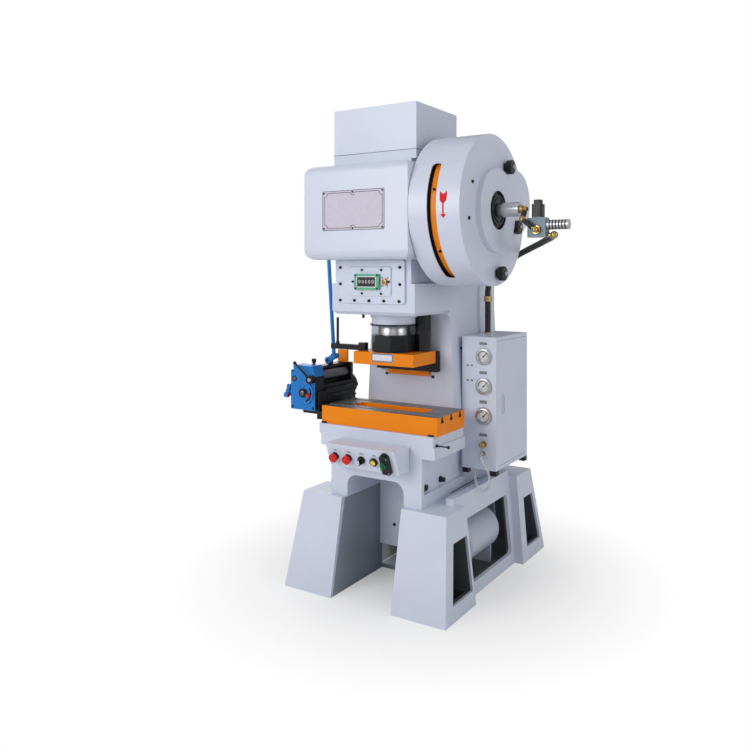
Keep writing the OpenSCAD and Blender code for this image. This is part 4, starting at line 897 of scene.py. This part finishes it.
def dress_head():
    with new_piece("name_plate", "plate") as bm:
        prism(bm, rounded(318, 170, 7), (NAME_X, -583, NAME_Z), FRONT, 1.4)
    with new_piece("name_plate_border", "ink") as bm:
        ribbon(bm, notched_border(298, 150, 17), 2.4, (NAME_X, NAME_FACE_Y, NAME_Z), FRONT, 0.2)
        ribbon(bm, rounded(315, 167, 6), 2.0, (NAME_X, NAME_FACE_Y, NAME_Z), FRONT, 0.2)
    with new_piece("counter_window", "black_plastic") as bm:
        prism(bm, rounded(92, 40, 2), (-9, COUNTER_Y, COUNTER_Z), FRONT, 1.0)
    with new_piece("counter_window_rim", "white_plastic") as bm:
        ribbon(bm, rounded(97, 45, 3), 3, (-9, COUNTER_Y, COUNTER_Z), FRONT, 1.6)
    for i in range(5):
        at = (-43 + 17 * i, COUNTER_Y - 1.2, COUNTER_Z)
        lettering(f"counter_digit_{i}", "0", 22, at, "white_plastic")
    with new_piece("sight_glass_ring", "bronze") as bm:
        turned_ring(bm, ring_profile(9, 13, 3), (SIGHT_X, -472, COUNTER_Z), AHEAD)
    with new_piece("sight_glass", "amber") as bm:
        turned(bm, [(0, 9.5), (1.2, 9), (2.2, 6), (2.6, 0)], (SIGHT_X, -472, COUNTER_Z), AHEAD)
    with new_piece("sight_glass_collar", "bronze") as bm:
        turned_ring(bm, ring_profile(13.1, 14.6, 8), (SIGHT_X, -463.2, COUNTER_Z), AHEAD)
    with new_piece("slide_label", "label", "slide") as bm:
        prism(bm, rounded(116, 38, 4), (-2, -360, 1041), FRONT, 0.8)
    with new_piece("slide_label_border", "grey_label", "slide") as bm:
        ribbon(bm, rounded(110, 33, 6), 6, (-2, -360.8, 1041), FRONT, 0.3)
    with new_piece("bush_foot_band", "black_metal") as bm:
        turned_ring(bm, band(105.6, 106.8, 7), (0, CRANK_Y, 1182.5), UPWARD, 96)
    with new_piece("top_cover_seam", "ink") as bm:
        ribbon(bm, rounded(432, 370, 3), 1.2, (0, -245, 1947.1), TOP, 1.8)
    with new_piece("plunger_collar", "chrome", "slide") as bm:
        section = [(0, 66.2), (0, 75), (38, 75), (41, 73), (41, 66.2)]
        turned_ring(bm, section, (0, CRANK_Y, 1140.1), UPWARD, 96)
    with new_piece("guide_boot", "rubber_boot", "slide") as bm:
        section = [(0, 36.2), (0, 36.7), (20, 36.9), (58, 36.9), (96, 36.6), (96, 36.2)]
        turned_ring(bm, section, (113, -195, 1063.2), UPWARD, 64)
    with new_piece("grease_nipple", "black_metal") as bm:
        turned(bm, [(0, 9), (9, 9), (9, 6), (20, 6), (23, 3), (23, 0)], (-124, -330, 1236), DOWNWARD, 24)


def drum_strip(bm, rows, inner, outer):
    """A strip laid round the guard's drum: (angle, left, right) rows between two radii."""
    axis = Vector((0, CRANK_Y, CRANK_Z))
    made = []
    for degrees, left, right in rows:
        a = math.radians(degrees)
        made.append([
            bm.verts.new(axis + Vector((x, r * math.cos(a), r * math.sin(a))))
            for x, r in ((left, inner), (left, outer), (right, outer), (right, inner))
        ])
    for low, high in zip(made, made[1:]):
        skin(bm, low, high)
    bm.faces.new(made[0][::-1])
    bm.faces.new(made[-1])


def dress_guard():
    """The red arrow that shows the way the wheel turns, the slot's round ends, a black ring painted as the
    shadow gap at the guard's inner edge, and the hub's seal rings.
    """
    with new_piece("turning_arrow", "red_ink", smooth=20) as bm:
        feather = [
            (169.5, 15.8, 16), (170.5, 9, 16), (171.8, 0.2, 16),
            (174, 0.2, 15.5), (176.2, 0.2, 14.5), (178, 0.2, 5),
        ]
        under, over = GUARD_R + 0.05, GUARD_R + 0.6
        for way in (-1, 1):
            rows = [(d, *sorted((ARROW_X + way * low, ARROW_X + way * high))) for d, low, high in feather]
            drum_strip(bm, rows, under, over)
        shaft = [(177.6 + 0.75 * k, ARROW_X - 3.4, ARROW_X + 3.4) for k in range(12)]
        drum_strip(bm, shaft, under, GUARD_R + 0.55)
        tip = [(185.8 + 0.35 * k, ARROW_X - 13 + 13 * k / 8, ARROW_X + 13.1 - 13 * k / 8) for k in range(9)]
        drum_strip(bm, tip, under, over)
        bmesh.ops.recalc_face_normals(bm, faces=bm.faces)
    with new_piece("slot_ends", "sheet") as bm:
        for end, way in ((146, 1), (244, -1)):
            rows = []
            for k in range(11):
                run = SLOT_END_R * k / 10
                left_over = SLOT_END_R ** 2 - (SLOT_END_R - run) ** 2
                bite = max(0.05, SLOT_END_R - math.sqrt(max(0, left_over)))
                rows.append((end + way * math.degrees(run / GUARD_R), bite))
            drum_strip(bm, [(d, 353.9, 354 + bite) for d, bite in rows], 315.1, 319.9)
            drum_strip(bm, [(d, 397 - bite, 397.1) for d, bite in rows], 315.1, 319.9)
        bmesh.ops.recalc_face_normals(bm, faces=bm.faces)
    # Painted shadow: a thin black ring at the guard's inner edge stands in for the shadow gap between the
    # guard and the crown.
    with new_piece("guard_gasket", "black_metal") as bm:
        turned_ring(bm, band(312, 318.6, 1.6), (266.2, CRANK_Y, CRANK_Z), RIGHTWARD, 128)
    with new_piece("hub_seal", "black_metal") as bm:
        turned_ring(bm, band(78.6, 81.8, 3), (516, CRANK_Y, CRANK_Z), RIGHTWARD, 96)
        turned_ring(bm, band(56, 64, 2), (520, CRANK_Y, CRANK_Z), RIGHTWARD, 96)


def dress_gauges():
    ticks, small = [], []
    for g, z in enumerate(GAUGE_ZS):
        centre = Vector((GAUGE_X, GAUGE_FACE_Y, z))
        with new_piece(f"gauge_face_{g + 1}", "white_plastic") as bm:
            turned(bm, [(0, 30.6), (0.4, 30.6)], centre, AHEAD, 64)
        with new_piece(f"gauge_bezel_{g + 1}", "chrome") as bm:
            section = [(0, 36.5), (2.4, 36), (4.4, 32), (4.0, 28), (1.2, 25.2), (0.2, 25)]
            turned_ring(bm, section, (GAUGE_X, GAUGE_FACE_Y - 4.3, z), AHEAD, 64)
        with new_piece(f"gauge_glass_{g + 1}", "glass") as bm:
            profile = [(0, 27), (0.6, 26.6), (1.4, 16), (1.7, 0)]
            turned(bm, profile, (GAUGE_X, GAUGE_FACE_Y - 4.1, z), AHEAD, 64)
        for k in range(41):
            way = spoke(225 - 270 * k / 40)
            marks, reach = (ticks, 21.5) if k % 8 == 0 else (small, 22.6)
            marks.append((centre + way * reach + Vector((0, -0.45, 0)), way, 1))
        for k in range(6):
            at = centre + spoke(225 - 54 * k) * 15.5 + Vector((0, -0.5, 0))
            lettering(f"gauge_{g + 1}_figure_{k}", str(2 * k), 5, at, "ink")
    repeat("gauge_major_ticks", tick_mark(0.9, 5), ticks, "ink")
    repeat("gauge_minor_ticks", tick_mark(0.5, 3), small, "ink")


def dress_cabinet():
    with new_piece("cabinet_plates", "grey_label") as bm:
        for low, high in ((1091, 1103), (957, 971), (823, 838), (673, 687)):
            prism(bm, rounded(38, high - low, 1.5), (347, -51, (low + high) / 2), FRONT, 0.7)
    with new_piece("regulator_cap", "bronze") as bm:
        turned(bm, [(0, 13.5), (9, 13.5), (11, 12), (11, 0)], (GAUGE_X, -71, 638), AHEAD)
    with new_piece("door_pull_floor", "tank_paint", "door") as bm:
        prism(bm, rounded(39, 91, 19), (409, 23.5, 816), RIGHT, 0.4)
    with new_piece("door_pull_rim", "label", "door") as bm:
        ribbon(bm, rounded(44, 96, 21.5, 10), 4, (411, 23.5, 816), RIGHT, 1.6)
    with new_piece("door_seal", "black_plastic") as bm:
        ribbon(bm, rounded(331, 570, 1.5), 2.6, (408.6, 131.1, 824), RIGHT, 1.2)


def on_panel(x, lift=0.0, up=0.0):
    """A place on the sloped control panel, raised off it and moved up it."""
    return Vector((x, -524.27, 622.35)) + normal_of(PANEL) * lift + PANEL[1] * up


def dress_panel():
    way = normal_of(PANEL)
    with new_piece("selector_grip", "black_plastic", "selector", replaces="selector_knob") as bm:
        turned(bm, [(0, 15.6), (6, 15.2), (7.5, 13.5), (7.5, 0)], on_panel(1, 8.4), way)
        prism(bm, rounded(9, 29, 4), on_panel(1, 15), PANEL, 12)
    with new_piece("selector_mark", "white_plastic", "selector") as bm:
        prism(bm, rounded(5, 22, 1.5), on_panel(1, 27.05, 2), PANEL, 0.5)
    with new_piece("start_button_ring", "black_plastic") as bm:
        turned_ring(bm, ring_profile(12.2, 18.5, 3.5, 1.2), on_panel(65, 8.1), way)
    with new_piece("button_plates", "grey_label") as bm:
        for x, width in ((-138, 17), (-68, 20), (1, 24), (65, 17)):
            prism(bm, rounded(width, 4.5, 1), on_panel(x + 6, 0.05, 30), PANEL, 0.4)
    with new_piece("switch_case", "black_plastic", replaces="switch_box") as bm:
        prism(bm, rounded(40, 86, 4), on_panel(128, 0.2), PANEL, 20)
        for up in (-47, 47):
            prism(bm, rounded(20, 9, 2), on_panel(128, 0.2, up), PANEL, 11)
        turned(bm, [(0, 12), (3, 12), (4, 11), (4, 0)], on_panel(SWITCH_X, 16.5), way)
        sharp = [e for e in bm.edges if e.is_manifold and e.calc_face_angle() > 1]
        bmesh.ops.bevel(bm, geom=sharp, offset=1, segments=2, affect="EDGES")
    with new_piece("switch_grip", "green_plastic", "main_handle", replaces="switch_handle") as bm:
        turned(bm, [(0, 15), (4, 15), (5.5, 13.5), (5.5, 0)], on_panel(SWITCH_X, 20.8), way)
        prism(bm, rounded(10, 32, 4.5), on_panel(SWITCH_X, 25), PANEL, 11)


def dress_bed():
    with new_piece("bed_pin", "black_metal") as bm:
        pin_at = seat("frame", (FAR_RIGHT, -390, 690), LEFTWARD)
        turned(bm, [(0, 7), (5, 7), (6, 3.2), (54, 3.2)], pin_at, RIGHTWARD, 28)
        ball(bm, pin_at + Vector((58, 0, 0)), 7)
    with new_piece("bolster_keys", "black_metal") as bm:
        for x in (-289, 274):
            prism(bm, rounded(26, 7, 1.5), (x, -406, 734), FRONT, 6)
    with new_piece("side_plugs", "black_plastic") as bm:
        prism(bm, rounded(46, 26, 12.9), seat("frame", (FAR_RIGHT, -362, 494), LEFTWARD), RIGHT, 6)
        knob_at = seat("frame", (FAR_RIGHT, -224, 501), LEFTWARD)
        turned(bm, [(0, 14), (5, 14), (9, 11), (22, 11), (24, 9), (24, 0)], knob_at, RIGHTWARD)
    with new_piece("panel_plug", "black_plastic") as bm:
        turned(bm, [(0, 8), (1.5, 8), (2.5, 6), (2.5, 0)], (-68, -153, 228), AHEAD, 28)
    with new_piece("ledge_strip", "hose_rubber") as bm:
        sweep(bm, [(271, -223, 447), (269, -80, 447), (267, 66, 447)], 2.2, 10)


def dress_feeder():
    with new_piece("gearbox_side_plate", "black_metal") as bm:
        prism(bm, rounded(66, 150, 4), (-335, -384, 862), RIGHT, 2)
    with new_piece("dial_slot_floor", "ink") as bm:
        arc = [math.radians(-73 + 106 * k / 24) for k in range(25)]
        outline = [(45.4 * math.cos(a), 45.4 * math.sin(a)) for a in arc]
        outline += [(36.6 * math.cos(a), 36.6 * math.sin(a)) for a in reversed(arc)]
        prism(bm, outline, (DIAL_X, -424, DIAL_Z), FRONT, 0.5)
    marks = []
    for k in range(19):
        way = spoke(-80 + 10 * k)
        marks.append((Vector((DIAL_X, -430.1, DIAL_Z)) + way * 49, way, 1))
    repeat("dial_marks", tick_mark(0.8, 4), marks, "white_plastic")
    with new_piece("lever_knob", "black_plastic", "roll_lever") as bm:
        ball(bm, (-434, -443.3, 999), 8.6)
    with new_piece("lever_hub_cap", "steel", "roll_lever") as bm:
        turned(bm, [(0, 9), (2, 8), (2.4, 0)], (-346, -448.3, 927), AHEAD)
    with new_piece("oil_eye_ring", "black_metal") as bm:
        turned_ring(bm, ring_profile(8, 13, 2.5), (-455, -420, 923), AHEAD)
    with new_piece("oil_eye", "amber") as bm:
        turned(bm, [(0, 8.4), (1, 8), (1.6, 0)], (-455, -419.6, 923), AHEAD)
    with new_piece("dial_hub_cap", "dark_steel") as bm:
        turned(bm, [(0, 12), (2, 12), (4, 8), (4, 0)], (DIAL_X, -442, DIAL_Z), AHEAD, 32)
    with new_piece("dial_arm_knob", "red_plastic") as bm:
        ball(bm, (-362, -436, 852.4), 10.8)
    with new_piece("feeder_end_drum", "black_metal") as bm:
        profile = [(0, 50), (14, 50), (20, 46), (24, 38), (24, 16), (27, 14), (27, 0)]
        turned(bm, profile, (-382, -93.4, 866), BEHIND, 64)
    for i in range(3):
        a = math.radians(90 + 120 * i)
        at = Vector((0, -385 + 25 * math.cos(a), 852 + 25 * math.sin(a)))
        finish = "red_plastic" if i == 1 else "black_plastic"
        button = [(0, 9.5), (2.5, 9), (3.6, 6), (3.8, 0)]
        with new_piece(f"handwheel_tip_{i + 1}", finish, "hand_star") as bm:
            for x, way in ((-503, RIGHTWARD), (-523, LEFTWARD)):
                turned(bm, button, at + Vector((x, 0, 0)), way, 28)


def dress_valve():
    with new_piece("coil_jacket", "black_plastic") as bm:
        prism(bm, rounded(43, 43, 5), (697, CRANK_Y, 1649), TOP, 52)
        prism(bm, rounded(30, 30, 4), (697, CRANK_Y, 1702.2), TOP, 17)
    with new_piece("union_hose_sleeve", "hose_rubber") as bm:
        sweep(bm, [(642.5, -280.5, 1670.8), (645, -303, 1648.8)], 10.6)
        sweep(bm, [(652, -312, 1635), (690, -312, 1604)], 10.6)


HEAD_BOLTS = [(x, 1299) for x in (-162, -85, -8, 69, 146)]
HEAD_BOLTS += [(x, z) for z in (1371, 1444) for x in (-162, 150)]
GUARD_KNOBS = ((117, 194), (199, -62), (32, -266))
PLATE_BOLTS = [(-40, 1433), (60, 1433), (-88.5, 1382), (-40, 1331), (59, 1331), (100, 1382)]
COUNTER_SCREWS = [(-66, 1353), (48, 1353), (-66, 1410), (48, 1410)]
SIGHT_SCREWS = [(SIGHT_X + 13 * x, COUNTER_Z + 17 * z) for x in (-1, 1) for z in (-1, 1)]
NAME_SCREWS = [(NAME_X + x, NAME_Z + z) for x in (-150, 0, 150) for z in (-76, 76)]
CABINET_SCREWS = [(269, 994), (290, 995), (269, 925), (290, 926)]


def fit_screws():
    """Every small fastener, set by the same Geometry Nodes tree."""
    cap = screw_head(0, 0.5)
    hexagon = screw_head(6, 0)
    black = [((x, -455, z), AHEAD, 6.5) for x, z in HEAD_BOLTS]
    black += [((x, PLATE_Y, z), AHEAD, 5.2) for x, z in PLATE_BOLTS]
    black += [((x, NAME_FACE_Y, z), AHEAD, 4) for x, z in NAME_SCREWS]
    black += [((500, y, z), RIGHTWARD, 7) for y, z in ((-474.6, 1786), (-505.7, 1638.5))]
    black += [((x, -51, z), AHEAD, 3.6) for x, z in CABINET_SCREWS]
    black += [(seat("frame", (FAR_RIGHT, -31, 1069), LEFTWARD), RIGHTWARD, 6)]
    black += [(seat("frame", (x, -900, 938), BEHIND), AHEAD, 7) for x in (-126, 126)]
    black += [((-333, y, z), RIGHTWARD, 4) for y in (-410, -358) for z in (795, 930)]
    black += [((x, -420, z), AHEAD, 5) for x, z in ((-466, 792), (-346, 792), (-466, 960))]
    black += [((x, COUNTER_Y, z), AHEAD, 4) for x, z in COUNTER_SCREWS]
    black += [((x, PLATE_Y, z), AHEAD, 2.6) for x, z in SIGHT_SCREWS]
    repeat("cap_screws", cap, black, "black_metal")
    bright = [(on_panel(143, 20.1, up), normal_of(PANEL), 2.6) for up in (-34, 34)]
    bright += [((536, CRANK_Y + y, CRANK_Z + z), RIGHTWARD, 9) for y, z in GUARD_KNOBS]
    for z in GAUGE_ZS:
        middle = Vector((GAUGE_X, -58, z))
        bright += [(middle + spoke(90 + 120 * k) * 38, AHEAD, 1.5) for k in range(3)]
    repeat("bright_screws", cap, bright, "steel")
    repeat("rim_screws", cap, [
        ((374.8, -558.9, 1753.2), (0, -558.9 - CRANK_Y, 1753.2 - CRANK_Z), 6),
        ((375.8, -511.2, 1509.7), (0, -511.2 - CRANK_Y, 1509.7 - CRANK_Z), 6),
    ], "black_metal", "flywheel")
    nuts = [((x, y, 20), UPWARD, 15) for x in (-320, 320) for y in (-400, 400)]
    repeat("anchor_nuts", hexagon, nuts, "steel")


# Stage and light


FLOOR_CLEAR, FLOOR_FADE = 0.62, 0.55
FILL, SHINE, DARK_BAND = 0.46, 0.85, 0.18


def lay_floor():
    """A pale floor that turns to plain white away from the press, for the camera only."""
    bm = bmesh.new()
    bmesh.ops.create_grid(bm, x_segments=1, y_segments=1, size=30)
    floor = link_mesh("floor", bm, 30)
    floor.location = (0, 0, -0.0005)
    f = Finish("pale_floor")
    f.set(Base_Color=(0.88, 0.88, 0.89), Roughness=0.75)
    x, y = f.axes()[:2]
    far = ((x * x + y * y).math("POWER", 0.5) - FLOOR_CLEAR) / FLOOR_FADE * 0.45 + 0.55
    seen = f.node("LightPath", out="Is Camera Ray")
    white = f.node("Emission", Color=(1, 1, 1, 1), Strength=1.0)
    mixed = f.node("MixShader", Fac=far.clamped() * seen)
    node = mixed.socket.node
    f.tree.links.new(f.shader.outputs[0], node.inputs[1])
    f.tree.links.new(white.socket, node.inputs[2])
    f.tree.links.new(node.outputs[0], f.tree.nodes["Material Output"].inputs["Surface"])
    floor.data.materials.append(f.material)


def light_studio():
    """Even white light, bright and dark bands for metal to mirror, and four soft lamps."""
    world = bpy.data.worlds.new("studio")
    world.use_nodes = True
    scene.world = world
    tree = world.node_tree
    path = tree.nodes.new("ShaderNodeLightPath")
    seen = Signal(tree, path.outputs["Is Camera Ray"]) + Signal(tree, path.outputs["Is Transmission Ray"])
    back = tree.nodes["Background"]
    back.inputs["Color"].default_value = (1, 1, 1, 1)
    around = tree.nodes.new("ShaderNodeTexCoord")
    split = tree.nodes.new("ShaderNodeSeparateXYZ")
    tree.links.new(around.outputs["Generated"], split.inputs[0])
    east, north = Signal(tree, split.outputs[0]), Signal(tree, split.outputs[1])
    bands = (north.math("ARCTAN2", east) * 5.0 + 0.6).math("SINE") * 1.5 + 0.5
    mirrored = bands.clamped() * (SHINE - DARK_BAND) + (DARK_BAND - FILL)
    glossy = Signal(tree, path.outputs["Is Glossy Ray"]) * mirrored
    plug(tree, back.inputs["Strength"], seen.clamped() * (1 - FILL) + glossy + FILL)
    for name, place, aim, size, power in (
        ("key", (-1.6, -5.2, 2.6), (0, -0.3, 1.1), 2.6, 108),
        ("right_fill", (5.2, -1.0, 2.4), (0.2, 0, 1.1), 2.4, 40),
        ("top", (0.3, -1.2, 5.2), (0, 0, 1), 2.0, 8),
        ("back_left", (-3.8, 3.2, 2.8), (0, 0, 1.1), 2.4, 45),
    ):
        lamp = bpy.data.lights.new(name, "AREA")
        lamp.size, lamp.energy = size, power
        thing = linked(name, lamp)
        thing.location = place
        thing.rotation_euler = (Vector(aim) - Vector(place)).to_track_quat("-Z", "Y").to_euler()


# The press

place_camera()
dress_nodes()
lay_cords()
for node_name, width in SOFT_EDGES.items():
    soften(node_name, width, EDGE_STEPS.get(node_name, 2))
dress_head()
dress_guard()
dress_gauges()
dress_cabinet()
dress_panel()
dress_bed()
dress_feeder()
dress_valve()
fit_screws()
for shape in SHAPES:
    bpy.data.objects.remove(shape)
lay_floor()
light_studio()
scene.view_settings.view_transform = "Standard"
